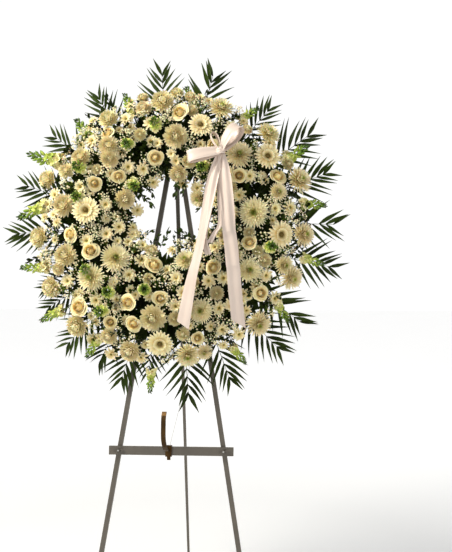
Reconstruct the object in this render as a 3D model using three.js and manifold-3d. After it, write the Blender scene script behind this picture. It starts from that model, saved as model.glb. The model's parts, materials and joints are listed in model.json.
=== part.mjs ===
// Funeral wreath of cream flowers and palm fronds, hung on a folding tripod easel
// Millimetres, +Z up, the wreath faces -Y
// A leaning plane carries the easel's front legs and the wreath:
// across is +X, up runs up the slope, out points out of the plane towards the viewer

import * as THREE from 'three';
import { mergeVertices } from 'three/addons/utils/BufferGeometryUtils.js';
import Module from 'manifold-3d';

const wasm = await Module();
wasm.setup();

// Driving sizes
const gap = 0.3;
const easel = {
  leanDeg: 10, legSide: 16, headUp: 1686, headHalf: 10, footHalf: 282, legStartUp: 12,
  rearFootBack: 682, rearTopSide: 14, rearFootSide: 9, rearStart: 9, rearPastPin: 8,
};
const bar = { up: 625, length: 430, height: 30, depth: 12, wall: 1.5 };
const bolt = { radius: 3, reach: 25, headRadius: 6, headThick: 4, nutRadius: 7, nutThick: 8 };
const head = {
  plateHalf: 24, plateLow: 1606, plateHigh: 1680, plateThick: 3, earInside: 7.6, earThick: 3, earLow: 1638,
  pinUp: 1658, pinBack: 36, pinRadius: 3, pinHeadRadius: 5, pinHeadThick: 2.5,
  pegUp: 1640, pegRadius: 3, pegReach: 14, pegTip: 16,
};
const hook = {
  across: -8, width: 16, thick: 4, collarWidth: 22, collarWall: 4, bend: 62, straight: 46,
  curlOut: 10, curlUp: 28, turnDeg: 10, tab: 12,
};
const cap = { wall: 3, height: 38, below: 12 };
const ring = {
  centreUp: 1395, middle: 255, half: 50, sides: 24, sectors: 12,
  trayHalf: 55, trayThick: 5, foamBack: 5.3, foamFront: 55, matThick: 3,
};
const hub = { back: 58.8, front: 74, half: 7, pegRadius: 4, pegBack: 30 };
const mound = { edge: 82, crown: 75, outer: 475, inner: 110, innerSwing: 50, under: 52 };
const frondShape = { pairs: 5, thick: 0.8, levels: [12, 25, 38], arch: 4, fold: 0.05, half: 92, rib: 2.6 };
const collar = {
  low: 46, thick: 1, tip: 446, notch: 400, tips: 5, innerTips: 4, innerNotch: 22, halfDeg: 14.6,
};
const ribbon = { width: 46, thick: 1.2, out: 205, knotHalf: [14, 16.5, 12.75], loopOut: 22 };

// Flowers, as [across, up] from the wreath's centre and, where it varies, a diameter
const mums = [
  [-210, 265, 75], [-205, 220, 72], [-215, 360, 75], [-30, 420, 85], [-95, 395, 60], [-360, 60, 85],
  [-425, 155, 75], [-305, 225, 75], [-355, 180, 60], [20, 295, 90], [235, 230, 95], [170, 395, 90],
  [330, 310, 85], [435, 150, 95], [285, 35, 105], [365, 105, 65], [95, 95, 70], [-350, -110, 85],
  [-180, -120, 100], [-260, -185, 98], [-315, -345, 85], [-405, -215, 80], [-450, -45, 80], [-50, -320, 95],
  [-200, -380, 65], [-130, -430, 80], [270, -160, 85], [110, -295, 85], [65, -440, 90], [300, -335, 90],
  [410, -180, 85], [450, -35, 85], [385, -140, 70], [55, -125, 75], [-155, 85, 76], [120, -430, 60],
  [-375, -155, 50], [25, 175, 70],
];
const gerberas = [[-280, 40, 100], [105, 330, 90], [330, 225, 95], [375, -40, 98], [-25, -405, 96]];
const roses = [
  [-50, 225, 56], [-215, 310, 52], [-255, 135, 52], [-175, 160, 50], [30, 380, 60], [-335, -40, 54],
  [-265, -95, 60], [-50, -140, 60], [-305, -285, 66], [-135, -270, 56], [-25, -255, 52], [-115, -340, 56],
  [-195, -335, 46], [150, -150, 56], [270, -65, 52], [310, -235, 52], [100, -385, 44], [235, 160, 50],
  [365, 160, 56], [145, 265, 40],
];
const daisyAcross = 56;
const daisies = [
  [-145, 195], [-95, 190], [-65, 150], [-305, 125], [-220, 65], [-175, -10], [-215, -35], [-120, 55],
  [-395, 100], [-155, 360], [-270, 285], [-70, 345], [35, 150], [115, 240], [235, 95], [355, 50],
  [405, 55], [90, 130], [205, 330], [335, 275], [270, 160], [-280, -60], [-95, -125], [-135, -175],
  [25, -185], [-245, -260], [-265, -390], [-200, -440], [-95, -450], [-345, -195], [50, -235],
  [25, -280], [135, -195], [185, -185], [325, -175], [170, -285], [180, -355], [235, -370],
  [155, -80], [210, -275], [355, -250],
];
// Flower spikes, as [root across, root up, tip across, tip up]
const spikes = [
  [-380, 220, -515, 250], [-270, 285, -340, 380], [-130, 375, -175, 465], [-430, 70, -540, 25],
  [80, 400, 45, 490], [230, 360, 300, 415], [380, 215, 475, 275], [440, 75, 535, 65],
  [445, -110, 530, -130], [360, -260, 405, -335], [210, -410, 260, -475], [-425, -145, -525, -150],
  [-365, -290, -450, -330], [-340, -195, -400, -235], [-235, -380, -290, -455], [-60, -490, -60, -575],
];
// Bunches of green buds that face the viewer
const budBunches = [
  [-50, 335], [115, 200], [340, -80], [-275, -160], [-200, -235], [-220, -295], [-80, -225],
  [-305, 190], [-310, 85], [-145, 270], [-130, 140],
];
// Palm fronds, as [degrees clockwise from the top, how far the tip is from the centre]
const fronds = [
  [355, 590], [13, 605], [38, 560], [57, 610], [72, 600], [88, 600], [105, 600], [125, 590], [141, 600],
  [160, 600], [175, 620], [188, 540], [199, 590], [207, 560], [220, 575], [238, 545], [245, 520],
  [269, 575], [284, 575], [309, 570], [328, 565],
];
// Ribbon tails, as the middle of the band from the knot down
const knotPlace = [176, 232];
const leftTail = [[174, 233], [158, 150], [130, 5], [104, -130], [79, -250], [54, -352]];
const rightTail = [[179, 233], [190, 150], [202, 5], [219, -130], [230, -250], [239, -345]];

const looks = {
  steel: { color: 0x77736a, roughness: 0.55, metalness: 0.6 },
  bright: { color: 0xb9b8b4, roughness: 0.35, metalness: 0.9 },
  bronze: { color: 0x5a3f1a, roughness: 0.4, metalness: 0.8 },
  rubber: { color: 0x26262a, roughness: 0.85, metalness: 0 },
  tray: { color: 0x2d3a24, roughness: 0.6, metalness: 0 },
  foam: { color: 0x3c5a36, roughness: 0.95, metalness: 0 },
  leaf: { color: 0x22391a, roughness: 0.6, metalness: 0 },
  petal: { color: 0xe6dcb8, roughness: 0.75, metalness: 0 },
  satin: { color: 0xe8ddd2, roughness: 0.45, metalness: 0 },
};

// A small repeatable source of numbers between 0 and 1
function makeDraw(seed) {
  let state = seed;
  return () => {
    state = (state * 16807) % 2147483647;
    return state / 2147483647;
  };
}

// Solids
function solidFrom(positions, triangles) {
  const mesh = new wasm.Mesh({
    numProp: 3,
    vertProperties: new Float32Array(positions),
    triVerts: new Uint32Array(triangles),
  });
  return new wasm.Manifold(mesh);
}

function solidOf(geometry) {
  const bare = geometry.clone();
  bare.deleteAttribute('normal');
  bare.deleteAttribute('uv');
  const merged = mergeVertices(bare, 1e-4);
  return solidFrom(merged.attributes.position.array, merged.index.array);
}

// Joins leave a few edges shorter than this, which are closed up
const weldWithin = 0.004;

function geometryOf(solid) {
  const mesh = solid.getMesh();
  const geometry = new THREE.BufferGeometry();
  geometry.setAttribute('position', new THREE.BufferAttribute(mesh.vertProperties, 3));
  geometry.setIndex(new THREE.BufferAttribute(mesh.triVerts, 1));
  const welded = mergeVertices(geometry, weldWithin);
  const corners = [...welded.index.array];
  const kept = [];
  for (let i = 0; i < corners.length; i += 3) {
    const [a, b, c] = corners.slice(i, i + 3);
    if (a !== b && b !== c && c !== a) {
      kept.push(a, b, c);
    }
  }
  welded.setIndex(kept);
  return welded;
}

function largestPiece(solid) {
  const pieces = solid.decompose();
  return pieces.reduce((best, piece) => (piece.volume() > best.volume() ? piece : best));
}

function joinAll(solids) {
  return solids.reduce((sum, solid) => sum.add(solid));
}

function boxSolid(low, high) {
  const size = high.map((value, axis) => value - low[axis]);
  const geometry = new THREE.BoxGeometry(...size);
  geometry.translate(...high.map((value, axis) => (value + low[axis]) / 2));
  return solidOf(geometry);
}

// A straight rod from one point to another, round or with few sides, tapering if told
function rod(from, to, fromRadius, toRadius = fromRadius, sides = 10, turn = 0) {
  const start = new THREE.Vector3(...from);
  const along = new THREE.Vector3(...to).sub(start);
  const geometry = new THREE.CylinderGeometry(toRadius, fromRadius, along.length(), sides);
  geometry.rotateY(turn);
  const place = new THREE.Quaternion();
  place.setFromUnitVectors(new THREE.Vector3(0, 1, 0), along.clone().normalize());
  geometry.applyQuaternion(place);
  geometry.translate(...start.addScaledVector(along, 0.5).toArray());
  return solidOf(geometry);
}

// A closed body stacked from rings of points, first and last rows being single points on the axis
// Each row gives [radius, height] for corner number j
function stacked(top, rows, bottom, sides) {
  const points = [0, 0, top];
  rows.forEach((row, k) => {
    for (let j = 0; j < sides; j += 1) {
      const [radius, height] = row(j);
      const angle = ((j + (k % 2) * 0.5) / sides) * Math.PI * 2;
      points.push(radius * Math.cos(angle), radius * Math.sin(angle), height);
    }
  });
  points.push(0, 0, bottom);
  const at = (k, j) => 1 + k * sides + (j % sides);
  const last = 1 + rows.length * sides;
  const faces = [];
  for (let j = 0; j < sides; j += 1) {
    faces.push([0, at(0, j), at(0, j + 1)]);
    for (let k = 0; k + 1 < rows.length; k += 1) {
      faces.push([at(k, j), at(k + 1, j), at(k, j + 1)]);
      faces.push([at(k, j + 1), at(k + 1, j), at(k + 1, j + 1)]);
    }
    faces.push([last, at(rows.length - 1, j + 1), at(rows.length - 1, j)]);
  }
  return { points, faces };
}

// Raises a point over the chosen faces, which turns each into a three-sided petal
function raisePetals(body, chosen, centreOf) {
  const points = [...body.points];
  const faces = [];
  body.faces.forEach((face, index) => {
    if (!chosen(index)) {
      faces.push(face);
      return;
    }
    const middle = [0, 1, 2].map((axis) => face.reduce((sum, p) => sum + points[p * 3 + axis], 0) / 3);
    const tip = points.length / 3;
    points.push(...centreOf(middle));
    face.forEach((corner, side) => faces.push([corner, face[(side + 1) % 3], tip]));
  });
  return { points, faces };
}

// Flower heads, all built round the origin and facing +Z
const ball = (radius, height, deg) => {
  const angle = THREE.MathUtils.degToRad(deg);
  return () => [radius * Math.sin(angle), height * Math.cos(angle)];
};

function mumHead(diameter) {
  const radius = diameter / 2;
  const core = radius * 0.74;
  const sides = diameter > 90 ? 7 : 6;
  const rows = [38, 74, 108].map((deg) => ball(core, core * 0.8, deg));
  const body = stacked(core * 0.8, rows, -core * 0.62, sides);
  const perSlice = body.faces.length / sides;
  const chosen = (index) => index % perSlice === 1 || index % perSlice === 4;
  return raisePetals(body, chosen, (middle) => {
    const reach = (radius * 0.97) / Math.hypot(...middle);
    return [middle[0] * reach, middle[1] * reach, middle[2] * reach * 0.8 + radius * 0.1];
  });
}

function starHead(diameter, petals, lift = 0.12, notch = 0.62, centre = 0.26) {
  const radius = diameter / 2;
  const row = (j) => (j % 2 ? [radius * notch, 0] : [radius, radius * lift]);
  return stacked(radius * centre, [row], -radius * 0.3, petals * 2);
}

function eyeHead(diameter) {
  const radius = diameter / 2;
  return stacked(radius * 0.34, [() => [radius * 0.3, radius * 0.26]], 0, 8);
}

function roseHead(diameter) {
  const radius = diameter / 2;
  const wave = (size, height, curl) => (j) => {
    const sway = (j % 2) * curl;
    return [radius * (size + sway), radius * (height - sway)];
  };
  const rows = [
    wave(0.24, 0.66, 0.06), wave(0.36, 0.4, 0), wave(0.66, 0.58, 0.07), wave(0.72, 0.2, 0),
    wave(0.99, 0.3, -0.1),
  ];
  return stacked(radius * 0.42, rows, -radius * 0.62, 6);
}

function spikeHead(length, width) {
  const tipRoom = 0.4;
  const steps = 4;
  const rows = [];
  for (let k = steps; k >= 1; k -= 1) {
    const along = k / (steps + tipRoom);
    const swell = (width / 2) * (1.08 - 0.75 * along);
    rows.push((j) => [swell * ((j + k) % 2 ? 0.72 : 1.12), length * along]);
  }
  return stacked(length, rows, 0, 5);
}

function budHead(length, width) {
  return stacked(length, [() => [width / 2, length * 0.45]], 0, 4);
}

function shifted(body, across, up, out = 0) {
  const points = body.points.map((value, index) => value + [across, up, out][index % 3]);
  return { points, faces: body.faces };
}

// A plain ball that stands in for a folded head where it cuts a neighbour clear
function guardBall(diameter) {
  const radius = diameter * 0.53;
  const rows = [30, 60, 90, 120, 150].map((deg) => ball(radius, radius * 0.78, deg));
  return stacked(radius * 0.78, rows, -radius * 0.78, 8);
}

// A three-sided stem, widest where it leaves the hub and running out inside the flower
function stemSolid(from, to, width, grow) {
  const start = new THREE.Vector3(...from);
  const along = new THREE.Vector3(...to).sub(start);
  const length = along.length() + 12;
  const row = () => [width + grow, 0.5];
  return placeBody(stacked(length, [row], 0, 3), from, along.normalize(), 0);
}

// Where the mound of flowers is: how far out it stands and which way its surface faces
function moundAt(across, up) {
  const clock = Math.atan2(across, up);
  const radius = Math.hypot(across, up);
  const inner = mound.inner + mound.innerSwing * Math.cos(clock);
  const middle = (inner + mound.outer) / 2;
  const side = THREE.MathUtils.clamp((radius - middle) / ((mound.outer - inner) / 2), -1, 1);
  const out = mound.edge + mound.crown * Math.sqrt(1 - side * side);
  const facing = new THREE.Vector3((across / radius) * side * 0.9, (up / radius) * side * 0.9, 1).normalize();
  return { clock, radius, out, facing };
}

// A body of points and faces, turned from +Z to face one way and carried to its place
function placeBody(body, place, facing, spin, size = 1) {
  const turn = new THREE.Quaternion().setFromUnitVectors(new THREE.Vector3(0, 0, 1), facing);
  const points = [];
  const point = new THREE.Vector3();
  for (let i = 0; i < body.points.length; i += 3) {
    point.set(body.points[i], body.points[i + 1], body.points[i + 2]).multiplyScalar(size);
    point.applyAxisAngle(new THREE.Vector3(0, 0, 1), spin).applyQuaternion(turn);
    points.push(point.x + place[0], point.y + place[1], point.z + place[2]);
  }
  return solidFrom(points, body.faces.flat());
}

// One list of everything that stands on the mound, each with its sector, place and shape
const sectorOf = (clock) => {
  const share = (Math.PI * 2) / ring.sectors;
  return Math.floor((((clock % (Math.PI * 2)) + Math.PI * 2) % (Math.PI * 2)) / share);
};

function bloomList() {
  const draw = makeDraw(2203);
  const list = [];
  const add = (bodies, across, up, diameter, sink = 0, guard = bodies) => {
    const spot = moundAt(across, up);
    const out = Math.max(spot.out - sink, mound.under + diameter / 2);
    const place = [across, up, out];
    list.push({ ...spot, sector: sectorOf(spot.clock), bodies, guard, place, diameter, spin: draw() * 6 });
  };
  mums.forEach(([across, up, size]) => add([mumHead(size)], across, up, size));
  gerberas.forEach(([across, up, size]) => {
    add([starHead(size, 13), starHead(size * 0.62, 9, 0.42, 0.6, 0.4), eyeHead(size)], across, up, size, -14);
  });
  roses.forEach(([across, up, size]) => add([roseHead(size)], across, up, size, 0, [guardBall(size)]));
  daisies.forEach(([across, up]) => add([starHead(daisyAcross, 7)], across, up, daisyAcross, 12));
  budBunches.forEach(([across, up]) => {
    const spread = [[2, 8], [9, -7], [-9, -4]];
    const buds = spread.map(([right, over]) => shifted(budHead(30, 19), right, over));
    add(buds, across, up, 30, 0, [shifted(guardBall(44), 0, 0, 13)]);
  });
  // Sprigs of baby's breath by a turning rule, in the dark gaps
  const sprigs = 12;
  const goldenTurn = 2.39996;
  for (let k = 0; k < sprigs; k += 1) {
    const clock = k * goldenTurn;
    const inner = mound.inner + mound.innerSwing * Math.cos(clock) + 25;
    const reach = Math.sqrt(THREE.MathUtils.lerp(inner * inner, 455 * 455, (k + 0.5) / sprigs));
    add([budHead(15, 13)], reach * Math.sin(clock), reach * Math.cos(clock), 13, -26);
  }
  return list;
}

// The stem starts on the hub, at the flower's own clock angle but inside its sector
function hubPoint(clock, sector) {
  const share = (Math.PI * 2) / ring.sectors;
  const middle = (sector + 0.5) * share;
  let off = clock - middle;
  off = Math.atan2(Math.sin(off), Math.cos(off));
  const angle = middle + THREE.MathUtils.clamp(off, -share * 0.4, share * 0.4);
  return [ring.middle * Math.sin(angle), ring.middle * Math.cos(angle), (hub.back + hub.front) / 2];
}

function spikeSolid([rootAcross, rootUp, tipAcross, tipUp], asGuard) {
  const root = new THREE.Vector3(rootAcross, rootUp, 96);
  const along = new THREE.Vector3(tipAcross, tipUp, 92).sub(root);
  const length = along.length();
  const guard = () => stacked(length + 2, [() => [8, length], () => [21, 8]], -2, 8);
  const body = asGuard ? guard() : spikeHead(length, 32);
  return placeBody(body, root.toArray(), along.clone().normalize(), 0);
}

// Every flower of one sector, grown a little where it is only used to cut a neighbour clear
function sectorFlowers(list, sector, grow = 0) {
  const parts = [];
  list.filter((item) => item.sector === sector).forEach((item) => {
    const size = 1 + grow / (item.diameter / 2);
    const bodies = grow > 0 ? item.guard : item.bodies;
    bodies.forEach((body) => parts.push(placeBody(body, item.place, item.facing, item.spin, size)));
    parts.push(stemSolid(hubPoint(item.clock, sector), item.place, 6, grow));
  });
  spikes.forEach((spike) => {
    const clock = Math.atan2(spike[0], spike[1]);
    if (sectorOf(clock) !== sector) {
      return;
    }
    parts.push(spikeSolid(spike, grow > 0));
    parts.push(stemSolid(hubPoint(clock, sector), [spike[0], spike[1], 96], 6, grow));
  });
  return parts;
}

// A ring of a given outline, as [radius, out] points, turned about the wreath's axis
function ringSolid(outline) {
  const closed = [...outline, outline[0]].map(([radius, out]) => new THREE.Vector2(radius, out));
  const geometry = new THREE.LatheGeometry(closed, ring.sides, Math.PI / 2);
  geometry.rotateX(Math.PI / 2);
  const solid = solidOf(geometry);
  return solid.volume() > 0 ? solid : solidOf(geometry.scale(1, 1, -1));
}

function wedge(startDeg, endDeg, back, front) {
  const far = 900;
  const corner = (deg) => {
    const angle = THREE.MathUtils.degToRad(deg);
    return new THREE.Vector2(far * Math.sin(angle), far * Math.cos(angle));
  };
  const shape = new THREE.Shape([new THREE.Vector2(0, 0), corner(endDeg), corner(startDeg)]);
  const geometry = new THREE.ExtrudeGeometry(shape, { depth: front - back, bevelEnabled: false });
  geometry.translate(0, 0, back);
  return solidOf(geometry);
}

// A thin blade cut to an outline, its height given by a rule, both faces split alike
function blade(outline, thick, heightAt) {
  const count = outline.length;
  const flat = outline.map(([x, y]) => new THREE.Vector2(x, y));
  if (THREE.ShapeUtils.area(flat) < 0) {
    flat.reverse();
  }
  const triangles = THREE.ShapeUtils.triangulateShape(flat, []);
  const points = [];
  [thick / 2, -thick / 2].forEach((side) => {
    flat.forEach(({ x, y }) => points.push(x, y, heightAt(x, y) + side));
  });
  const faces = [];
  triangles.forEach(([a, b, c]) => faces.push([a, b, c], [a + count, c + count, b + count]));
  flat.forEach((_, a) => {
    const b = (a + 1) % count;
    faces.push([a, a + count, b + count], [a, b + count, b]);
  });
  return { points, faces };
}

// A palm frond along +Y: paired slim leaflets cut to the rib in one outline
function frondBody(length) {
  const { pairs, rib, half, arch, fold } = frondShape;
  const start = length * 0.3;
  const step = (length * 0.62) / pairs;
  const side = [];
  for (let k = 0; k < pairs; k += 1) {
    const base = start + k * step;
    const share = (k + 0.5) / pairs;
    const reach = half * (0.62 + 0.75 * share - 0.95 * share * share);
    const forward = reach * (0.62 + 0.5 * share);
    side.push([rib, base]);
    side.push([rib + reach, base + forward]);
    side.push([rib + reach * 0.4, base + forward * 0.46 + step * 0.36]);
  }
  side.push([rib, start + pairs * step]);
  const outline = [[rib, 0], ...side, [0, length]];
  const mirrored = [...side].reverse().map(([x, y]) => [-x, y]);
  outline.push(...mirrored, [-rib, 0]);
  const heightAt = (x, y) => arch * Math.sin((Math.PI * y) / length) - fold * Math.abs(x);
  return blade(outline, frondShape.thick, heightAt);
}

// Turns a body that lies along +Y to a clock angle and moves its root out from the centre
function radial(body, clockDeg, rootRadius, out, inward = false) {
  const clock = THREE.MathUtils.degToRad(clockDeg);
  const heading = inward ? clock + Math.PI : clock;
  const points = [];
  for (let i = 0; i < body.points.length; i += 3) {
    const x = body.points[i];
    const y = body.points[i + 1];
    points.push(
      rootRadius * Math.sin(clock) + x * Math.cos(heading) + y * Math.sin(heading),
      rootRadius * Math.cos(clock) - x * Math.sin(heading) + y * Math.cos(heading),
      body.points[i + 2] + out,
    );
  }
  return solidFrom(points, body.faces.flat());
}

const sectorDeg = 360 / ring.sectors;
const splitDeg = 0.15;

// The rings have flat facets, so a wall's distance from the axis changes round the clock
function facetRadius(clockDeg, radius) {
  const facet = 360 / ring.sides;
  const offFacet = THREE.MathUtils.euclideanModulo(clockDeg, facet) - facet / 2;
  const nearest = radius * Math.cos(THREE.MathUtils.degToRad(facet / 2));
  return nearest / Math.cos(THREE.MathUtils.degToRad(offFacet));
}

// Broad leaves side by side in one blade: from the mat's wall to a row of pointed tips
function leafFan(middleDeg, rootRadius, tipAt, tips) {
  const outline = [];
  const addPoint = (clockDeg, radius) => {
    const clock = THREE.MathUtils.degToRad(clockDeg);
    outline.push([radius * Math.sin(clock), radius * Math.cos(clock)]);
  };
  [-1, 0, 1].forEach((side) => {
    const clock = middleDeg + side * collar.halfDeg;
    addPoint(clock, facetRadius(clock, rootRadius));
  });
  for (let k = 0; k <= 2 * tips; k += 1) {
    const clock = middleDeg + collar.halfDeg * (1 - k / tips);
    addPoint(clock, tipAt(clock, k % 2 === 1));
  }
  const body = blade(outline, collar.thick, () => collar.low);
  return solidFrom(body.points, body.faces.flat());
}

// The green of one sector: a mat of leaves over the foam, a collar of broad leaves and its fronds
function sectorGreens(sector, matRing) {
  const start = sector * sectorDeg;
  const parts = [matRing.intersect(wedge(start + splitDeg, start + sectorDeg - splitDeg, -20, 120))];
  const outerRoot = ring.middle + ring.half + 2;
  const innerRoot = ring.middle - ring.half - 2;
  const toHole = (clock) => mound.inner + mound.innerSwing * Math.cos(THREE.MathUtils.degToRad(clock)) + 4;
  const outerTip = (clock, isTip) => (isTip ? collar.tip : collar.notch);
  const innerTip = (clock, isTip) => toHole(clock) + (isTip ? 0 : collar.innerNotch);
  parts.push(leafFan(start + sectorDeg / 2, outerRoot, outerTip, collar.tips));
  parts.push(leafFan(start + sectorDeg / 2, innerRoot, innerTip, collar.innerTips));
  fronds.forEach(([clock, tip], index) => {
    if (Math.floor(clock / sectorDeg) === sector) {
      const level = frondShape.levels[index % frondShape.levels.length];
      parts.push(radial(frondBody(tip - outerRoot), clock, facetRadius(clock, outerRoot), level));
    }
  });
  return joinAll(parts);
}

// The scene: everything hangs in one group whose origin ends up under the middle of the box
const group = new THREE.Group();
group.name = 'funeral_wreath_on_easel';
const plane = new THREE.Group();
const leanAngle = THREE.MathUtils.degToRad(easel.leanDeg);
plane.rotation.x = Math.PI / 2 - leanAngle;
group.add(plane);
const wreath = new THREE.Group();
wreath.position.y = ring.centreUp;
plane.add(wreath);

function addNode(parent, name, solid, look) {
  const mesh = new THREE.Mesh(geometryOf(solid), new THREE.MeshStandardMaterial(looks[look]));
  mesh.name = name;
  parent.add(mesh);
}

plane.updateMatrixWorld(true);
const toPlane = plane.matrixWorld.clone().invert();
const floorDepth = 60;
const farSide = 1500;
const floorGeometry = new THREE.BoxGeometry(2 * farSide, 2 * farSide, floorDepth);
floorGeometry.translate(0, 0, -floorDepth / 2);
const worldFloor = solidOf(floorGeometry);
const planeFloor = solidOf(floorGeometry.clone().applyMatrix4(toPlane));

// Front legs and their rubber caps, square tubes in the leaning plane
const legBack = -gap - easel.legSide;
const legMid = (legBack - gap) / 2;
const spread = easel.footHalf - easel.headHalf;
const legAcross = (up) => easel.footHalf - (spread * up) / easel.headUp;
const halfDiagonal = Math.SQRT1_2;

function squareBar(from, to, fromSide, toSide) {
  return rod(from, to, fromSide * halfDiagonal, toSide * halfDiagonal, 4, Math.PI / 4);
}

function boltHole(across, radius) {
  return rod([across, bar.up, legBack - 10], [across, bar.up, bar.depth + 20], radius);
}

[['left', -1], ['right', 1]].forEach(([side, sign]) => {
  const low = [sign * legAcross(easel.legStartUp), easel.legStartUp, legMid];
  const high = [sign * legAcross(easel.headUp), easel.headUp, legMid];
  const crossing = sign * legAcross(bar.up);
  const leg = squareBar(low, high, easel.legSide, easel.legSide);
  addNode(plane, `front_leg_${side}`, leg.subtract(boltHole(crossing, bolt.radius + gap)), 'steel');

  const capLow = [sign * legAcross(-cap.below), -cap.below, legMid];
  const capHigh = [sign * legAcross(cap.height), cap.height, legMid];
  const sleeveSide = easel.legSide + 2 * cap.wall;
  const boreLow = [sign * legAcross(easel.legStartUp - gap), easel.legStartUp - gap, legMid];
  const boreHigh = [sign * legAcross(cap.height + 20), cap.height + 20, legMid];
  const boreSide = easel.legSide + 2 * gap;
  const sleeve = squareBar(capLow, capHigh, sleeveSide, sleeveSide);
  const bore = squareBar(boreLow, boreHigh, boreSide, boreSide);
  addNode(plane, `foot_cap_${side}`, sleeve.subtract(bore).subtract(planeFloor), 'rubber');
});

// Crossbar, an open-ended rectangular tube bolted to the legs' front faces
const halfBar = bar.length / 2;
const barLow = bar.up - bar.height / 2;
const barHigh = bar.up + bar.height / 2;
let barSolid = boxSolid([-halfBar, barLow, 0], [halfBar, barHigh, bar.depth]);
barSolid = barSolid.subtract(boxSolid(
  [-halfBar - 5, barLow + bar.wall, bar.wall],
  [halfBar + 5, barHigh - bar.wall, bar.depth - bar.wall],
));
[-1, 1].forEach((sign) => {
  barSolid = barSolid.subtract(boltHole(sign * legAcross(bar.up), bolt.radius + gap));
});
addNode(plane, 'crossbar', barSolid, 'steel');

[['left', -1], ['right', 1]].forEach(([side, sign]) => {
  const across = sign * legAcross(bar.up);
  const at = (out) => [across, bar.up, out];
  const headFront = legBack - gap;
  const shank = rod(at(headFront - 1), at(bolt.reach), bolt.radius);
  const boltHead = rod(at(headFront - bolt.headThick), at(headFront), bolt.headRadius, bolt.headRadius, 6);
  addNode(plane, `crossbar_bolt_${side}`, shank.add(boltHead), 'bright');

  const nutBack = bar.depth + gap;
  let nut = rod(at(nutBack), at(nutBack + bolt.nutThick), bolt.nutRadius, bolt.nutRadius * 0.8);
  [-1, 1].forEach((wing) => {
    const wingGeometry = new THREE.BoxGeometry(13, 11, 2);
    wingGeometry.translate(wing * 10, 3, 0);
    wingGeometry.rotateX(Math.PI / 2);
    wingGeometry.rotateZ(0.5);
    wingGeometry.translate(across, bar.up, nutBack + 6);
    nut = nut.add(solidOf(wingGeometry));
  });
  const thread = rod(at(0), at(60), bolt.radius + gap);
  addNode(plane, `wing_nut_${side}`, nut.subtract(thread), 'bright');
});

// Head bracket behind the legs, with ears for the rear leg's pin and a peg that carries the wreath
const plateFront = legBack - gap;
const plateBack = plateFront - head.plateThick;
const pinOut = -head.pinBack;
const plate = boxSolid(
  [-head.plateHalf, head.plateLow, plateBack],
  [head.plateHalf, head.plateHigh, plateFront],
);
const earOutside = head.earInside + head.earThick;
const ears = [-1, 1].map((sign) => {
  const acrossLow = sign > 0 ? head.earInside : -earOutside;
  const earBox = [acrossLow, head.earLow, pinOut - 11];
  return boxSolid(earBox, [acrossLow + head.earThick, head.plateHigh, plateFront - 1]);
});
const peg = rod([0, head.pegUp, plateBack], [0, head.pegUp, head.pegReach], head.pegRadius);
const pegTip = rod(
  [0, head.pegUp - head.pegRadius, head.pegReach],
  [0, head.pegUp + head.pegTip, head.pegReach],
  head.pegRadius,
);
const pinBore = rod([-60, head.pinUp, pinOut], [60, head.pinUp, pinOut], head.pinRadius + gap);
addNode(plane, 'head_bracket', joinAll([plate, ...ears, peg, pegTip]).subtract(pinBore), 'steel');

const pinEnd = earOutside + gap;
const pinShaft = rod([-pinEnd - 1, head.pinUp, pinOut], [pinEnd + 1, head.pinUp, pinOut], head.pinRadius);
const pinHeads = [-1, 1].map((sign) => rod(
  [sign * pinEnd, head.pinUp, pinOut],
  [sign * (pinEnd + head.pinHeadThick), head.pinUp, pinOut],
  head.pinHeadRadius,
));
addNode(plane, 'hinge_pin', joinAll([pinShaft, ...pinHeads]), 'bright');

// Rear leg, tapering from the pin to its foot on the floor behind
const pinWorld = new THREE.Vector3(0, head.pinUp, pinOut).applyMatrix4(plane.matrixWorld);
const rearFoot = new THREE.Vector3(0, easel.rearFootBack, 0);
const rearAlong = rearFoot.clone().sub(pinWorld).normalize();
const rearAt = (past) => pinWorld.clone().addScaledVector(rearAlong, past).toArray();
const rearLength = rearFoot.distanceTo(pinWorld);
const worldBore = rod(
  [-60, pinWorld.y, pinWorld.z],
  [60, pinWorld.y, pinWorld.z],
  head.pinRadius + gap,
);
const rearSides = [easel.rearTopSide, easel.rearFootSide];
const rearLeg = squareBar(rearAt(-easel.rearPastPin), rearAt(rearLength - easel.rearStart), ...rearSides);
addNode(group, 'rear_leg', rearLeg.subtract(worldBore), 'steel');

const rearCapSide = 18;
const rearBoreSide = 9.9;
const rearCapTop = rearLength - cap.height;
const rearCapEnd = rearAt(rearLength + cap.below);
const rearBoreEnd = rearAt(rearLength - easel.rearStart + gap);
const rearSleeve = squareBar(rearAt(rearCapTop), rearCapEnd, rearCapSide, rearCapSide);
const rearBore = squareBar(rearAt(rearCapTop - 20), rearBoreEnd, rearBoreSide, rearBoreSide);
addNode(group, 'foot_cap_rear', rearSleeve.subtract(rearBore).subtract(worldFloor), 'rubber');

// Cradle hook: a flat strip that runs forward from a collar on the crossbar and bends up
const collarFront = bar.depth + gap + hook.collarWall;
const hookPath = [];
const bendSteps = 6;
for (let k = 0; k <= bendSteps; k += 1) {
  const angle = ((k / bendSteps) * Math.PI) / 2;
  hookPath.push([collarFront + hook.bend * Math.sin(angle), bar.up + hook.bend * (1 - Math.cos(angle))]);
}
const bendEnd = hookPath[bendSteps];
hookPath.push([bendEnd[0], bendEnd[1] + hook.straight]);
hookPath.push([bendEnd[0] - hook.curlOut * 0.3, bendEnd[1] + hook.straight + hook.curlUp * 0.5]);
hookPath.push([bendEnd[0] - hook.curlOut, bendEnd[1] + hook.straight + hook.curlUp]);
hookPath.unshift([collarFront - 2, bar.up]);

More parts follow.
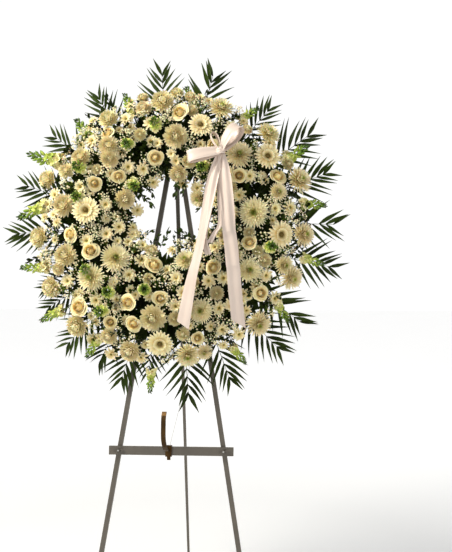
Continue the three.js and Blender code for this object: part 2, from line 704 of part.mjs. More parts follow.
function stripOutline(path, thick) {
  const sides = [[], []];
  path.forEach(([x, y], k) => {
    const before = path[Math.max(k - 1, 0)];
    const after = path[Math.min(k + 1, path.length - 1)];
    const along = new THREE.Vector2(after[0] - before[0], after[1] - before[1]).normalize();
    sides[0].push(new THREE.Vector2(x - (along.y * thick) / 2, y + (along.x * thick) / 2));
    sides[1].push(new THREE.Vector2(x + (along.y * thick) / 2, y - (along.x * thick) / 2));
  });
  return [...sides[0], ...sides[1].reverse()];
}

const hookShape = new THREE.Shape(stripOutline(hookPath, hook.thick));
const hookGeometry = new THREE.ExtrudeGeometry(hookShape, { depth: hook.width, bevelEnabled: false });
hookGeometry.translate(0, 0, -hook.width / 2);
hookGeometry.rotateY(-Math.PI / 2);
hookGeometry.translate(0, 0, -collarFront + 2);
hookGeometry.rotateY(-THREE.MathUtils.degToRad(hook.turnDeg));
hookGeometry.translate(hook.across, 0, collarFront - 2);
const collarHalf = hook.collarWidth / 2;
const collarBand = boxSolid(
  [hook.across - collarHalf, barLow - gap - hook.collarWall, -gap - hook.collarWall],
  [hook.across + collarHalf, barHigh + gap + hook.collarWall, collarFront],
);
const collarBore = boxSolid(
  [-halfBar, barLow - gap, -gap],
  [halfBar, barHigh + gap, bar.depth + gap],
);
const collarBottom = barLow - gap - hook.collarWall;
const clampTab = boxSolid(
  [hook.across - 6, collarBottom - hook.tab, 3],
  [hook.across + 6, collarBottom + 1, 7],
);
const hookParts = [collarBand.subtract(collarBore), solidOf(hookGeometry), clampTab];
addNode(plane, 'cradle_hook', joinAll(hookParts), 'bronze');

// Wreath base: a shallow tray with a foam ring on it, both with plain holes for the flowers' pegs
const { middle, half, trayHalf, trayThick, foamBack, foamFront, matThick } = ring;
const pegHoles = [];
const pegHoleRadius = hub.pegRadius + 2 * gap;
for (let sector = 0; sector < ring.sectors; sector += 1) {
  const clock = THREE.MathUtils.degToRad((sector + 0.5) * sectorDeg);
  const at = (out) => [middle * Math.sin(clock), middle * Math.cos(clock), out];
  pegHoles.push(rod(at(hub.pegBack - 1), at(hub.back + 1), pegHoleRadius, pegHoleRadius, 4));
}
const allPegHoles = joinAll(pegHoles);
const hangUp = head.pegUp - ring.centreUp + head.pegRadius + gap + 1.5;
const hangWire = (radius, reach) => {
  const at = (across) => [across, hangUp, trayThick / 2];
  return rod(at(-reach), at(reach), radius);
};
const pegWindow = boxSolid([-12, hangUp - 18, -1], [12, hangUp + 16, trayThick + 1]);
const pegPocket = boxSolid([-12, hangUp - 18, foamBack - 1], [12, hangUp + 16, 22]);
const traySolid = ringSolid([
  [middle - trayHalf, 0], [middle + trayHalf, 0],
  [middle + trayHalf, trayThick], [middle - trayHalf, trayThick],
]);
addNode(wreath, 'backing_tray', traySolid.subtract(pegWindow).subtract(hangWire(1.8, 20.3)), 'tray');
addNode(wreath, 'hanging_wire', hangWire(1.5, 20), 'bright');
const foamSolid = ringSolid([
  [middle - half, foamBack], [middle + half, foamBack],
  [middle + half, foamFront], [middle - half, foamFront],
]);
addNode(wreath, 'foam_ring', foamSolid.subtract(allPegHoles).subtract(pegPocket), 'foam');

// Wire that ties the tray's lower edge to the hook's collar
const tieClock = THREE.MathUtils.degToRad(160);
const tieReach = middle + trayHalf + gap + 0.9;
const tieTop = [tieReach * Math.sin(tieClock), ring.centreUp + tieReach * Math.cos(tieClock), trayThick / 2];
const tieFoot = [hook.across + 4, barHigh + hook.collarWall + 3 * gap, 6];
addNode(plane, 'tie_wire', rod(tieFoot, tieTop, 0.8, 0.8, 8), 'bright');

// Greens, twelve lengths round the ring
const matIn = half + 0.5;
const matOut = matIn + matThick;
const matTop = foamFront + 0.5;
const matRing = ringSolid([
  [middle - matOut, trayThick + 1], [middle - matIn, trayThick + 1], [middle - matIn, matTop],
  [middle + matIn, matTop], [middle + matIn, trayThick + 1], [middle + matOut, trayThick + 1],
  [middle + matOut, matTop + matThick], [middle - matOut, matTop + matThick],
]);
const matWithHoles = matRing.subtract(allPegHoles);
const nodeNumber = (sector) => String(sector + 1).padStart(2, '0');
for (let sector = 0; sector < ring.sectors; sector += 1) {
  addNode(wreath, `greens_${nodeNumber(sector)}`, sectorGreens(sector, matWithHoles), 'leaf');
}

// Flowers, twelve bunches that each stand on a short hub with a peg into the foam
const hubRing = ringSolid([
  [middle - hub.half, hub.back], [middle + hub.half, hub.back], [middle + hub.half, hub.front],
  [middle - hub.half, hub.front],
]);
const allBlooms = bloomList();
const knotSector = sectorOf(Math.atan2(...knotPlace));
const tailOut = (layer) => ribbon.out - gap - ribbon.thick / 2 - layer * (ribbon.thick + gap);
const pickTipRise = 0.4; // the pick leans, so its end's upper corner stands this much higher
const pickEnd = tailOut(1) - ribbon.thick / 2 - gap - pickTipRise;
const finished = [];
for (let sector = 0; sector < ring.sectors; sector += 1) {
  const start = sector * sectorDeg;
  const clock = THREE.MathUtils.degToRad(start + sectorDeg / 2);
  const pegAt = (out) => [middle * Math.sin(clock), middle * Math.cos(clock), out];
  const parts = [
    hubRing.intersect(wedge(start + 0.6, start + sectorDeg - 0.6, 40, 100)),
    rod(pegAt(hub.pegBack), pegAt(hub.back + 4), hub.pegRadius, hub.pegRadius, 4),
    ...sectorFlowers(allBlooms, sector),
  ];
  if (sector === knotSector) {
    const bowFoot = hubPoint(Math.atan2(...knotPlace), sector);
    parts.push(rod(bowFoot, [...knotPlace, pickEnd], 2.5, 1.5, 6));
  }
  let bunch = joinAll(parts);
  const before = sector > 0 ? [sector - 1] : [];
  if (sector === ring.sectors - 1) {
    before.push(0);
  }
  before.forEach((other) => {
    bunch = bunch.subtract(joinAll(sectorFlowers(allBlooms, other, 0.8)));
  });
  finished.push(largestPiece(bunch));
}
finished.forEach((bunch, sector) => addNode(wreath, `blooms_${nodeNumber(sector)}`, bunch, 'petal'));

// Satin ribbon: a bow on a knot and two long tails that lie over the flowers
function bandAlong(path, width) {
  const left = [];
  const right = [];
  path.forEach(([x, y], k) => {
    const before = path[Math.max(k - 1, 0)];
    const after = path[Math.min(k + 1, path.length - 1)];
    const along = new THREE.Vector2(after[0] - before[0], after[1] - before[1]).normalize();
    left.push([x - (along.y * width) / 2, y + (along.x * width) / 2]);
    right.push([x + (along.y * width) / 2, y - (along.x * width) / 2]);
  });
  return [...left, ...right.reverse()];
}

function tailSolid(path, layer) {
  const body = blade(bandAlong(path, ribbon.width), ribbon.thick, () => tailOut(layer));
  return solidFrom(body.points, body.faces.flat());
}

function loopSolid(length, rise, width, turn, tilt) {
  const drop = (size) => {
    const curve = new THREE.CubicBezierCurve(
      new THREE.Vector2(0, 0), new THREE.Vector2(size * 1.25, rise), new THREE.Vector2(size * 1.25, -rise),
      new THREE.Vector2(0, 0),
    );
    return curve.getPoints(10).slice(0, -1);
  };
  const shape = new THREE.Shape(drop(length));
  const geometry = new THREE.ExtrudeGeometry(shape, { depth: width, bevelEnabled: false });
  geometry.translate(0, 0, -width / 2);
  geometry.rotateX(tilt);
  geometry.rotateZ(turn);
  geometry.translate(knotPlace[0], knotPlace[1], ribbon.out + ribbon.loopOut);
  return solidOf(geometry);
}

const knotGeometry = new THREE.SphereGeometry(1, 8, 6);
knotGeometry.rotateX(Math.PI / 2);
knotGeometry.scale(...ribbon.knotHalf);
knotGeometry.translate(knotPlace[0], knotPlace[1], ribbon.out + ribbon.knotHalf[2]);
const bowParts = [
  solidOf(knotGeometry),
  loopSolid(122, 34, 44, Math.PI * 1.02, Math.PI / 2),
  loopSolid(92, 60, 40, Math.PI * 0.36, Math.PI * 0.42),
  loopSolid(72, 26, 26, Math.PI * 0.72, Math.PI * 0.5),
];
addNode(wreath, 'ribbon_bow', joinAll(bowParts), 'satin');
addNode(wreath, 'ribbon_tail_left', tailSolid(leftTail, 0), 'satin');
addNode(wreath, 'ribbon_tail_right', tailSolid(rightTail, 1), 'satin');

// The origin goes under the middle of the whole box
group.updateMatrixWorld(true);
const box = new THREE.Box3().setFromObject(group, true);
const centre = box.getCenter(new THREE.Vector3());
group.position.set(-centre.x, -centre.y, -box.min.z);
group.updateMatrixWorld(true);

export default group;
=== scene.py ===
import json
import math
import random

import bpy
import numpy as np
from mathutils import Matrix, Vector

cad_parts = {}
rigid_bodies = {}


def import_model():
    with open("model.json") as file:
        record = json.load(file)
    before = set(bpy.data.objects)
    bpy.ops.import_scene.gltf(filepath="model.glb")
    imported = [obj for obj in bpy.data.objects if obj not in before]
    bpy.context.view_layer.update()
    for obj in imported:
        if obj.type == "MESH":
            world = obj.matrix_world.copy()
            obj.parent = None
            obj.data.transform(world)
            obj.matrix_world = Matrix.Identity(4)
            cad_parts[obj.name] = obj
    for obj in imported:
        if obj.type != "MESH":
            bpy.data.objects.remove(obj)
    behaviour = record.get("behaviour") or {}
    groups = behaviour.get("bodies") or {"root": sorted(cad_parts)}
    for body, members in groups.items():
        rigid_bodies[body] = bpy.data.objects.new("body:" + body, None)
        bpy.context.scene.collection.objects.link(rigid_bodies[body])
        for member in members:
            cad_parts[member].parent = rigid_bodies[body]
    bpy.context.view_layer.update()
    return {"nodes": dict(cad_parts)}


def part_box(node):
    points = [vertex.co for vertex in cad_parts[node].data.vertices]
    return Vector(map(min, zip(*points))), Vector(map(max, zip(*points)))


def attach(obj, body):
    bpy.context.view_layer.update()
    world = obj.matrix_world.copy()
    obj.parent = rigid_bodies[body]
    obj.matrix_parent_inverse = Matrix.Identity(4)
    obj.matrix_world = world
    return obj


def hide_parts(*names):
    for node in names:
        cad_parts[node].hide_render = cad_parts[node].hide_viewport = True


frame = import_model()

# A standing wreath of cream flowers on its easel
# The wreath's own directions: across is +X, up runs up the easel's slope, out points to the viewer

mm = 0.001
goldenTurn = math.radians(137.508)

# In millimetres: the foam's ring, the mat of moss on it, and the mound of flowers with its off-centre hole
wreath = {
    "leanDeg": 10, "foamMiddle": 30.15, "sectors": 12,
    "ringMiddle": 255, "matHalf": 53.5, "matLow": 6, "matTop": 58.5,
    "edge": 82, "crown": 75, "steepness": 0.9, "outer": 475, "inner": 110, "innerSwing": 50, "under": 52,
}


# Places on the wreath
lean = math.radians(wreath["leanDeg"])
acrossWay = Vector((1, 0, 0))
upWay = Vector((0, math.sin(lean), math.cos(lean)))
outWay = Vector((0, -math.cos(lean), math.sin(lean)))
foamLow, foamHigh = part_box("foam_ring")
wreathCentre = (foamLow + foamHigh) / 2 - outWay * wreath["foamMiddle"] * mm
wreathTurn = Matrix((acrossWay, upWay, outWay)).transposed().to_4x4()
wreathPlace = Matrix.Translation(wreathCentre) @ wreathTurn @ Matrix.Scale(mm, 4)  # millimetres to the frame


def holeEdge(clock):
    return wreath["inner"] + wreath["innerSwing"] * math.cos(clock)


def sectorOf(clock):
    return int((clock % math.tau) / (math.tau / wreath["sectors"])) % wreath["sectors"]


# How far out the mound of flowers stands at a place, and which way its surface faces
def moundAt(across, up):
    clock = math.atan2(across, up)
    radius = math.hypot(across, up)
    inner = holeEdge(clock)
    middle = (inner + wreath["outer"]) / 2
    side = max(-1, min(1, (radius - middle) / ((wreath["outer"] - inner) / 2)))
    out = wreath["edge"] + wreath["crown"] * math.sqrt(1 - side * side)
    tilt = wreath["steepness"] * side / radius
    return clock, out, Vector((across * tilt, up * tilt, 1)).normalized()


# Shapes: points, faces and the marks that the materials read
# along runs from a petal's root to its tip; green, warm and dark choose its colour
markNames = ("along", "green", "warm", "dark")


class Shape:
    def __init__(self, points, faces, **marks):
        self.points = np.array(points, float).reshape(-1, 3)
        self.faces = faces
        self.marks = {}
        for name in markNames:
            self.marks[name] = np.zeros(len(self.points)) + np.asarray(marks.get(name, 0.0), float)

    def placed(self, matrix, **marks):
        turned = np.array(matrix.to_3x3())
        moved = self.points @ turned.T + np.array(matrix.translation)
        return Shape(moved, self.faces, **{**self.marks, **marks})

    def toMesh(self, name):
        mesh = bpy.data.meshes.new(name)
        mesh.from_pydata(self.points.tolist(), [], self.faces, shade_flat=False)
        for markName, values in self.marks.items():
            mark = mesh.attributes.new(markName, "FLOAT", "POINT")
            mark.data.foreach_set("value", values.astype(np.float32))
        return mesh


def joined(shapes):
    points, faces, start = [], [], 0
    for shape in shapes:
        points.append(shape.points)
        faces.extend(tuple(corner + start for corner in face) for face in shape.faces)
        start += len(shape.points)
    marks = {name: np.concatenate([shape.marks[name] for shape in shapes]) for name in markNames}
    return Shape(np.concatenate(points), faces, **marks)


# A sheet from rows of points, all rows equally long; closed joins each row's ends
def gridShape(rows, closed=False, **marks):
    rows = np.array(rows, float)
    count, wide = rows.shape[:2]
    faces = []
    for row in range(count - 1):
        for column in range(wide if closed else wide - 1):
            nextColumn = (column + 1) % wide
            faces.append((
                row * wide + column, row * wide + nextColumn,
                (row + 1) * wide + nextColumn, (row + 1) * wide + column,
            ))
    return Shape(rows.reshape(-1, 3), faces, **marks)


def turnZ(angle):
    return Matrix.Rotation(angle, 4, "Z")


def turnY(angle):
    return Matrix.Rotation(angle, 4, "Y")


def turnX(angle):
    return Matrix.Rotation(angle, 4, "X")


def shift(x, y, z):
    return Matrix.Translation((x, y, z))


def between(low, high, share):
    return low + (high - low) * share


# A petal or leaf along +X with its face up; riseFrom and riseTo are its slope in degrees at root and tip
def petalShape(length, width, riseFrom, riseTo, cup=0.3, rows=3, root=0.35, widest=0.65, blunt=0.25, **marks):
    steps = np.linspace(0, 1, rows + 1)
    slope = np.radians(between(riseFrom, riseTo, (steps[:-1] + steps[1:]) / 2))
    xs, zs = [np.concatenate([[0], np.cumsum(part(slope))]) * length / rows for part in (np.cos, np.sin)]
    half = width / 2 * np.interp(steps, [0, widest * 0.5, widest, 1], [root, 0.85, 1, blunt])
    grid = [
        [(x, side * reach, z + cup * reach * abs(side)) for side in (-1, 0, 1)]
        for x, z, reach in zip(xs, zs, half)
    ]
    marks.setdefault("along", fading(0, 1, rows))
    return gridShape(grid, **marks)


# A mark that changes evenly from a petal's root to its tip
def fading(atRoot, atTip, rows=3):
    return np.repeat(np.linspace(atRoot, atTip, rows + 1), 3)


# Points round the Z axis
def ringAt(reach, height, sides):
    turns = [math.tau * side / sides for side in range(sides)]
    return [(reach * math.cos(turn), reach * math.sin(turn), height) for turn in turns]


# A bud along +Z, through rings of [share of its width, share of its length]
def budShape(length, width, sides, **marks):
    rings = [(0.12, 0.0), (0.9, 0.35), (0.75, 0.7), (0.1, 1.0)]
    grid = [ringAt(width / 2 * size, length * height, sides) for size, height in rings]
    return gridShape(grid, closed=True, **marks)


# A dome that faces +Z; rough moves its points a little, as on a flower's eye
def domeShape(radius, height, rings, sides, rough=0.0, rng=None, **marks):
    grid = []
    for ring in range(rings + 1):
        polar = math.radians(between(4, 88, ring / rings))
        grid.append([])
        for side in range(sides):
            turn = math.tau * (side + 0.5 * (ring % 2)) / sides
            swell = 1 + (rng.uniform(-rough, rough) if rng else 0)
            reach = radius * math.sin(polar) * swell
            grid[-1].append((reach * math.cos(turn), reach * math.sin(turn), height * math.cos(polar) * swell))
    return gridShape(grid[::-1], closed=True, **marks)


# A thin three-sided rod
def rodShape(start, end, radius, endRadius, **marks):
    start, end = Vector(start), Vector(end)
    way = (end - start).normalized()
    side = way.orthogonal().normalized()
    other = way.cross(side)
    turns = [math.tau * k / 3 for k in range(3)]
    grid = [
        [point + (side * math.cos(turn) + other * math.sin(turn)) * reach for turn in turns]
        for point, reach in ((start, radius), (end, endRadius))
    ]
    return gridShape(grid, closed=True, **marks)


# Flower heads, each one unit across and facing +Z
# A pair of values runs from the innermost petal to the outermost one, or from foot to tip
ballMum = {
    "petals": 128, "core": 0.12, "polarDeg": (6, 118), "length": (0.2, 0.38), "width": 0.105, "curl": 62,
    "heart": 0.1,
}
openMum = {
    "petals": 140, "core": 0.1, "polarDeg": (6, 102), "length": (0.13, 0.41), "width": 0.07, "curl": 26,
    "heart": 0.45,
}


# A mum: narrow petals all over a small core, greenish at its heart
def mumShape(look, rng):
    parts = []
    for k in range(look["petals"]):
        share = (k + 0.5) / look["petals"]
        polar = math.radians(between(*look["polarDeg"], share ** 0.75))
        length = between(*look["length"], share ** 0.7) * rng.uniform(0.9, 1.04)
        rise = rng.uniform(-8, 8)
        petal = petalShape(
            length, look["width"] * rng.uniform(0.85, 1.1), rise - look["curl"] / 4, rise + look["curl"], 0.5,
            green=look["heart"] * max(0, 1 - share * 5),
        )
        place = turnZ(k * goldenTurn) @ turnY(polar) @ shift(0, 0, look["core"]) @ turnY(-math.pi / 2)
        parts.append(petal.placed(place @ turnX(rng.uniform(-0.25, 0.25))))
    parts.append(domeShape(0.2, 0.24, 3, 8, warm=0.6).placed(turnX(math.pi)))
    return joined(parts)


# The green cup under a head, through rings of [share of its width, share of its depth]
def calyx(radius, depth):
    rings = [(0.25, 1.0), (0.6, 0.8), (1.0, 0.0)]
    return gridShape([ringAt(radius * size, -depth * low, 6) for size, low in rings], closed=True, green=0.75)


daisy = {
    "petals": 28, "root": 0.048, "length": 0.42, "width": 0.135, "eye": 0.075,
    "layers": 3, "layerDeg": 18, "layerGap": 0.01, "layerShorter": 0.17,
}


def daisyShape(look, rng):
    parts = []
    for k in range(look["petals"]):
        layer = k % look["layers"]
        length = look["length"] * rng.uniform(0.88, 1.04) * (1 - look["layerShorter"] * layer)
        rise = 4 + look["layerDeg"] * layer + rng.uniform(-7, 7)
        petal = petalShape(
            length, look["width"], rise + 8, rise - 20, widest=0.8, blunt=0.6,
            warm=fading(0.7, 0.1), dark=0.05,
        )
        turn = math.tau * (k + rng.uniform(-0.2, 0.2)) / look["petals"]
        parts.append(petal.placed(turnZ(turn) @ shift(look["root"], 0, look["layerGap"] * layer)))
    parts.append(domeShape(look["eye"], 0.08, 3, 9, 0.12, rng, green=0.3, dark=0.8).placed(shift(0, 0, 0.03)))
    parts.append(calyx(0.13, 0.16))
    return joined(parts)


# Its rows of petals are [turn offset, share of the length, degrees of rise, height, share of the width]
gerbera = {
    "petals": 21, "root": 0.09, "length": 0.4, "width": 0.09, "fringe": 26, "eye": 0.09,
    "rows": [(0, 1, 2, 0.0, 1), (0.5, 0.88, 12, 0.014, 1), (0.25, 0.42, 34, 0.03, 0.75)],
}


def gerberaShape(look, rng):
    parts = []
    for offset, long, rise, height, wide in look["rows"]:
        for k in range(look["petals"]):
            lift = rise + rng.uniform(-5, 5)
            petal = petalShape(
                look["length"] * long * rng.uniform(0.93, 1.03), look["width"] * wide, lift + 10, lift - 14,
                cup=0.35, rows=4, root=0.4, widest=0.72, blunt=0.45, warm=0.45, dark=fading(0.16, 0.04, 4),
            )
            turn = math.tau * (k + offset + rng.uniform(-0.12, 0.12)) / look["petals"]
            parts.append(petal.placed(turnZ(turn) @ shift(look["root"], 0, height)))
    fringe = petalShape(0.08, 0.03, 55, 30, rows=2, warm=0.8, dark=0.5)
    for k in range(look["fringe"]):
        parts.append(fringe.placed(turnZ(k * goldenTurn) @ shift(look["eye"] * 0.85, 0, 0.035)))
    parts.append(domeShape(look["eye"], 0.085, 4, 11, 0.14, rng, dark=1.0).placed(shift(0, 0, 0.03)))
    parts.append(calyx(0.16, 0.14))
    return joined(parts)


rose = {
    "petals": 22, "rim": (0.1, 0.52), "foot": (0.9, 0.28), "height": (0.5, 0.27), "spanDeg": (205, 112),
    "warm": (1.18, 0.72), "closing": 0.32, "rows": 5, "columns": 6, "low": -0.25,
}


# A rose: its inner petals wrap round a bud and the outer ones lie open round them
def roseShape(look, rng):
    rows, columns = look["rows"], look["columns"]
    along = np.repeat(np.linspace(0.0, 1, rows + 1) ** 1.2, columns + 1)
    parts = []
    for k in range(look["petals"]):
        share = k / (look["petals"] - 1)
        rim = between(*look["rim"], share) * rng.uniform(0.96, 1.05)
        foot = rim * between(*look["foot"], share)
        height = between(*look["height"], share) * rng.uniform(0.94, 1.06)
        span = math.radians(between(*look["spanDeg"], share))
        closing = rim * look["closing"] * (1 - share) ** 2
        grid = []
        for row in range(rows + 1):
            grid.append([])
            for column in range(columns + 1):
                side = column / columns * 2 - 1
                rise = row / rows * (1 - 0.2 * side ** 4)
                reach = between(foot, rim, rise ** 0.9) - closing * rise ** 3 + 0.02 * side
                level = height * math.sin(rise * math.pi / 2) - 0.05 * share * rise ** 6
                turn = side * span / 2
                grid[-1].append((reach * math.cos(turn), reach * math.sin(turn), level))
        petal = gridShape(grid, along=along, warm=between(*look["warm"], share))
        parts.append(petal.placed(turnZ(k * goldenTurn) @ shift(0, 0, look["low"])))
    parts.append(domeShape(0.1, 0.16, 3, 8, warm=1.15, along=0.35))
    parts.append(calyx(0.2, 0.12).placed(shift(0, 0, -0.21)))
    return joined(parts)


spike = {"florets": 40, "open": 0.45, "size": (0.2, 0.075), "reach": 0.095, "leanDeg": (72, 22)}
budBunch = {"florets": 30, "open": 0.4, "size": (0.42, 0.2), "reach": 0.36, "leanDeg": (72, 22)}


# A flower spike along +Z, one unit long: open florets at its foot, then green buds to its tip
def spikeShape(look, rng):
    parts = [rodShape((0, 0, -0.25), (0, 0, 0.95), 0.018, 0.006, green=0.8)]
    for k in range(look["florets"]):
        share = k / (look["florets"] - 1)
        size = between(*look["size"], share ** 0.8) * rng.uniform(0.85, 1.15)
        foot = turnZ(k * goldenTurn) @ shift(look["reach"] * (1 - 0.75 * share), 0, share * 0.9)
        place = foot @ turnY(math.radians(between(*look["leanDeg"], share)))
        tint = min(1, max(0, between(0.05, 1.0, share) + rng.uniform(-0.1, 0.1)))
        if share < look["open"]:
            lobe = petalShape(size * 0.75, size * 0.75, 70, 10, rows=2, blunt=0.6, green=tint)
            for quarter in range(4):
                parts.append(lobe.placed(place @ turnZ(quarter * math.tau / 4) @ shift(size * 0.08, 0, 0)))
        else:
            parts.append(budShape(size * 1.5, size * 0.85, 4, along=0.6, green=tint).placed(place))
    return joined(parts)


# A floret's rim goes in and down, then out and up, as [share of its radius, share of its size]
breath = {"florets": 17, "size": 0.15, "stem": 0.007, "rim": [(0.62, -0.08), (1, 0.22)], "sides": 8}


# Baby's breath: a loose ball of tiny double florets on thread stems
def breathShape(look, rng):
    parts = []
    sides = look["sides"]
    for k in range(look["florets"]):
        way = turnZ(k * goldenTurn) @ turnY(math.radians(rng.uniform(5, 95)))
        tip = way @ Vector((0, 0, rng.uniform(0.3, 0.52)))
        size = look["size"] * rng.uniform(0.7, 1.2)
        parts.append(rodShape((0, 0, -0.5), tip, look["stem"], look["stem"], green=0.7))
        points = [(0, 0, size * 0.42)]
        for side in range(sides):
            share, rise = look["rim"][side % 2]
            reach, turn = size / 2 * share, math.tau * side / sides
            points.append((reach * math.cos(turn), reach * math.sin(turn), rise * size))
        points.append((0, 0, -size * 0.3))
        faces = [(0, 1 + side, 1 + (side + 1) % sides) for side in range(sides)]
        faces += [(sides + 1, 1 + (side + 1) % sides, 1 + side) for side in range(sides)]
        puff = Shape(points, faces, along=0.9)
        parts.append(puff.placed(Matrix.Translation(tip) @ way.to_3x3().to_4x4()))
    return joined(parts)


broad = {"width": 0.46, "rootDeg": (5, 25), "tipDeg": (-45, -15)}


# Leaves, one unit long along +X with their face up
def broadLeaf(look, rng):
    rootDeg, tipDeg = rng.uniform(*look["rootDeg"]), rng.uniform(*look["tipDeg"])
    return petalShape(1, look["width"], rootDeg, tipDeg, 0.35, rows=6, root=0.08, widest=0.45, blunt=0.05)


sprig = {"leaves": 11, "length": 0.3, "width": 0.18, "angleDeg": (65, 10)}


def leafSprig(look, rng):
    parts = [rodShape((0, 0, 0), (1, 0, 0.05), 0.02, 0.01)]
    for k in range(look["leaves"]):
        share = (k + 1) / look["leaves"]
        leaf = petalShape(
            look["length"] * rng.uniform(0.8, 1.15), look["width"], rng.uniform(10, 40), rng.uniform(-30, 0),
            cup=0.4, root=0.1, widest=0.5, blunt=0.08,
        )
        angle = math.radians(between(*look["angleDeg"], share))
        parts.append(leaf.placed(shift(share, 0, share * 0.05) @ turnX(k * goldenTurn) @ turnZ(angle)))
    return joined(parts)


# A palm frond: lengths are a leaflet's at the foot, near the middle and at the tip
frond = {
    "pairs": 9, "run": (0.18, 0.85), "rib": 0.008, "ribSteps": 6, "width": 0.045, "angleDeg": (60, 27),
    "lengths": [0.42, 0.46, 0.24], "lengthsAt": [0, 0.45, 1], "missing": 0.05,
}


def frondShape(look, rng):
    arch = rng.uniform(0.03, 0.07)

    def ribAt(share):
        return Vector((share, 0, arch * math.sin(share * math.pi)))

    parts = []
    steps = look["ribSteps"]
    joints = [ribAt(k / steps * look["run"][1]) for k in range(steps + 1)]
    for k in range(steps):
        thick = look["rib"] * (1 - 0.75 * k / steps)
        parts.append(rodShape(joints[k], joints[k + 1], thick, thick * 0.85, green=0.5))
    for k in range(look["pairs"]):
        share = k / (look["pairs"] - 1)
        length = np.interp(share, look["lengthsAt"], look["lengths"])
        for side in (-1, 1):
            if rng.random() < look["missing"]:
                continue
            turn = side * math.radians(between(*look["angleDeg"], share) + rng.uniform(-5, 5))
            leaflet = petalShape(
                length * rng.uniform(0.85, 1.05), look["width"] * rng.uniform(0.8, 1.15), rng.uniform(2, 14),
                rng.uniform(-22, -2), cup=0.5, rows=5, root=0.25, widest=0.4, blunt=0.04,
                green=rng.uniform(0, 0.3),
            )
            foot = ribAt(between(*look["run"], share) + rng.uniform(-0.01, 0.01))
            roll = turnX(side * rng.uniform(-0.5, 0.2))
            parts.append(leaflet.placed(Matrix.Translation(foot) @ turnZ(turn) @ roll))
    return joined(parts)


# The heads and leaves that the wreath's tree picks from, by their order of name; one shape for each seed
def buildLibrary(name, kinds):
    collection = bpy.data.collections.new(name)
    bpy.context.scene.collection.children.link(collection)
    order = {}
    for kind, build, look, seeds in kinds:
        for seed in seeds:
            index = len(collection.objects)
            mesh = build(look, random.Random(seed)).toMesh(kind)
            collection.objects.link(bpy.data.objects.new(f"{index:02d}_{kind}", mesh))
            order.setdefault(kind, []).append(index)
    return collection, order


flowerLibrary, flowerOrder = buildLibrary("flowerLibrary", [
    ("ballMum", mumShape, ballMum, (1, 2)), ("openMum", mumShape, openMum, (3, 4)),
    ("gerbera", gerberaShape, gerbera, (5,)), ("rose", roseShape, rose, (6, 7)),
    ("daisy", daisyShape, daisy, (8, 9)), ("spike", spikeShape, spike, (10,)),
    ("budBunch", spikeShape, budBunch, (11,)), ("breath", breathShape, breath, (12, 13)),
])
leafLibrary, leafOrder = buildLibrary("leafLibrary", [
    ("broadLeaf", broadLeaf, broad, (21, 22)), ("sprig", leafSprig, sprig, (23, 24)),
    ("frond", frondShape, frond, (25, 26, 27, 28)),
])
print("library built")


# Adds a node and returns its output; settings are its own, values are numbers or links for its sockets
def addNode(tree, kind, settings=None, values=None, output=0):
    made = tree.nodes.new(kind)
    for name, value in (settings or {}).items():
        if name == "stops":
            ramp = made.color_ramp
            while len(ramp.elements) < len(value):
                ramp.elements.new(0.5)
            for element, (place, colour) in zip(ramp.elements, value):
                element.position = place
                element.color = colour
        else:
            setattr(made, name, value)
    for name, value in (values or {}).items():
        value = value.socket if isinstance(value, Wire) else value
        if isinstance(value, bpy.types.NodeSocket):
            tree.links.new(value, made.inputs[name])
        else:
            made.inputs[name].default_value = value
    return made.outputs[output] if made.outputs else None


# Materials
def paint(red, green, blue):
    values = [value / 255 for value in (red, green, blue)]
    linear = [value / 12.92 if value <= 0.04045 else ((value + 0.055) / 1.055) ** 2.4 for value in values]
    return (*linear, 1.0)


# A shader socket that takes part in sums
class Wire:
    def __init__(self, shader, socket):
        self.shader = shader
        self.socket = socket

    def math(self, operation, *others):
        values = dict(enumerate((self, *others)))
        return self.shader.node("ShaderNodeMath", {"operation": operation}, values)

    def __add__(self, other):
        return self.math("ADD", other)

    def __sub__(self, other):
        return self.math("SUBTRACT", other)

    def __rsub__(self, other):
        return self.shader.node("ShaderNodeMath", {"operation": "SUBTRACT"}, {0: other, 1: self})

    def __mul__(self, other):
        return self.math("MULTIPLY", other)

    __radd__ = __add__
    __rmul__ = __mul__

    def clamped(self):
        return self.math("MAXIMUM", 0.0).math("MINIMUM", 1.0)


class Shader:
    def __init__(self, name):
        self.material = bpy.data.materials.new(name)
        self.material.use_nodes = True
        self.tree = self.material.node_tree
        self.tree.nodes.clear()

    def node(self, kind, settings=None, values=None, output=0):
        return Wire(self, addNode(self.tree, kind, settings, values, output))

    def place(self):
        return self.node("ShaderNodeTexCoord", output="Object")

    def mark(self, name):
        return self.node("ShaderNodeAttribute", {"attribute_name": name}, output="Fac")

    def noise(self, scale, detail=2.0, rough=0.5):
        values = {"Vector": self.place(), "Scale": scale, "Detail": detail, "Roughness": rough}
        return self.node("ShaderNodeTexNoise", {}, values)

    def ramp(self, factor, stops):
        painted = [(place, paint(*colour)) for place, colour in stops]
        return self.node("ShaderNodeValToRGB", {"stops": painted}, {"Fac": factor})

    def mix(self, factor, first, second):
        settings = {"data_type": "RGBA", "clamp_factor": True}
        return self.node("ShaderNodeMix", settings, {0: factor, 6: first, 7: second}, output=2)

    def bump(self, height, strength, distance):
        return self.node("ShaderNodeBump", {}, {"Height": height, "Strength": strength, "Distance": distance})

    def finish(self, **values):
        sockets = {name.replace("_", " "): value for name, value in values.items()}
        surface = self.node("ShaderNodeBsdfPrincipled", {}, sockets)
        addNode(self.tree, "ShaderNodeOutputMaterial", {}, {"Surface": surface})
        return self.material


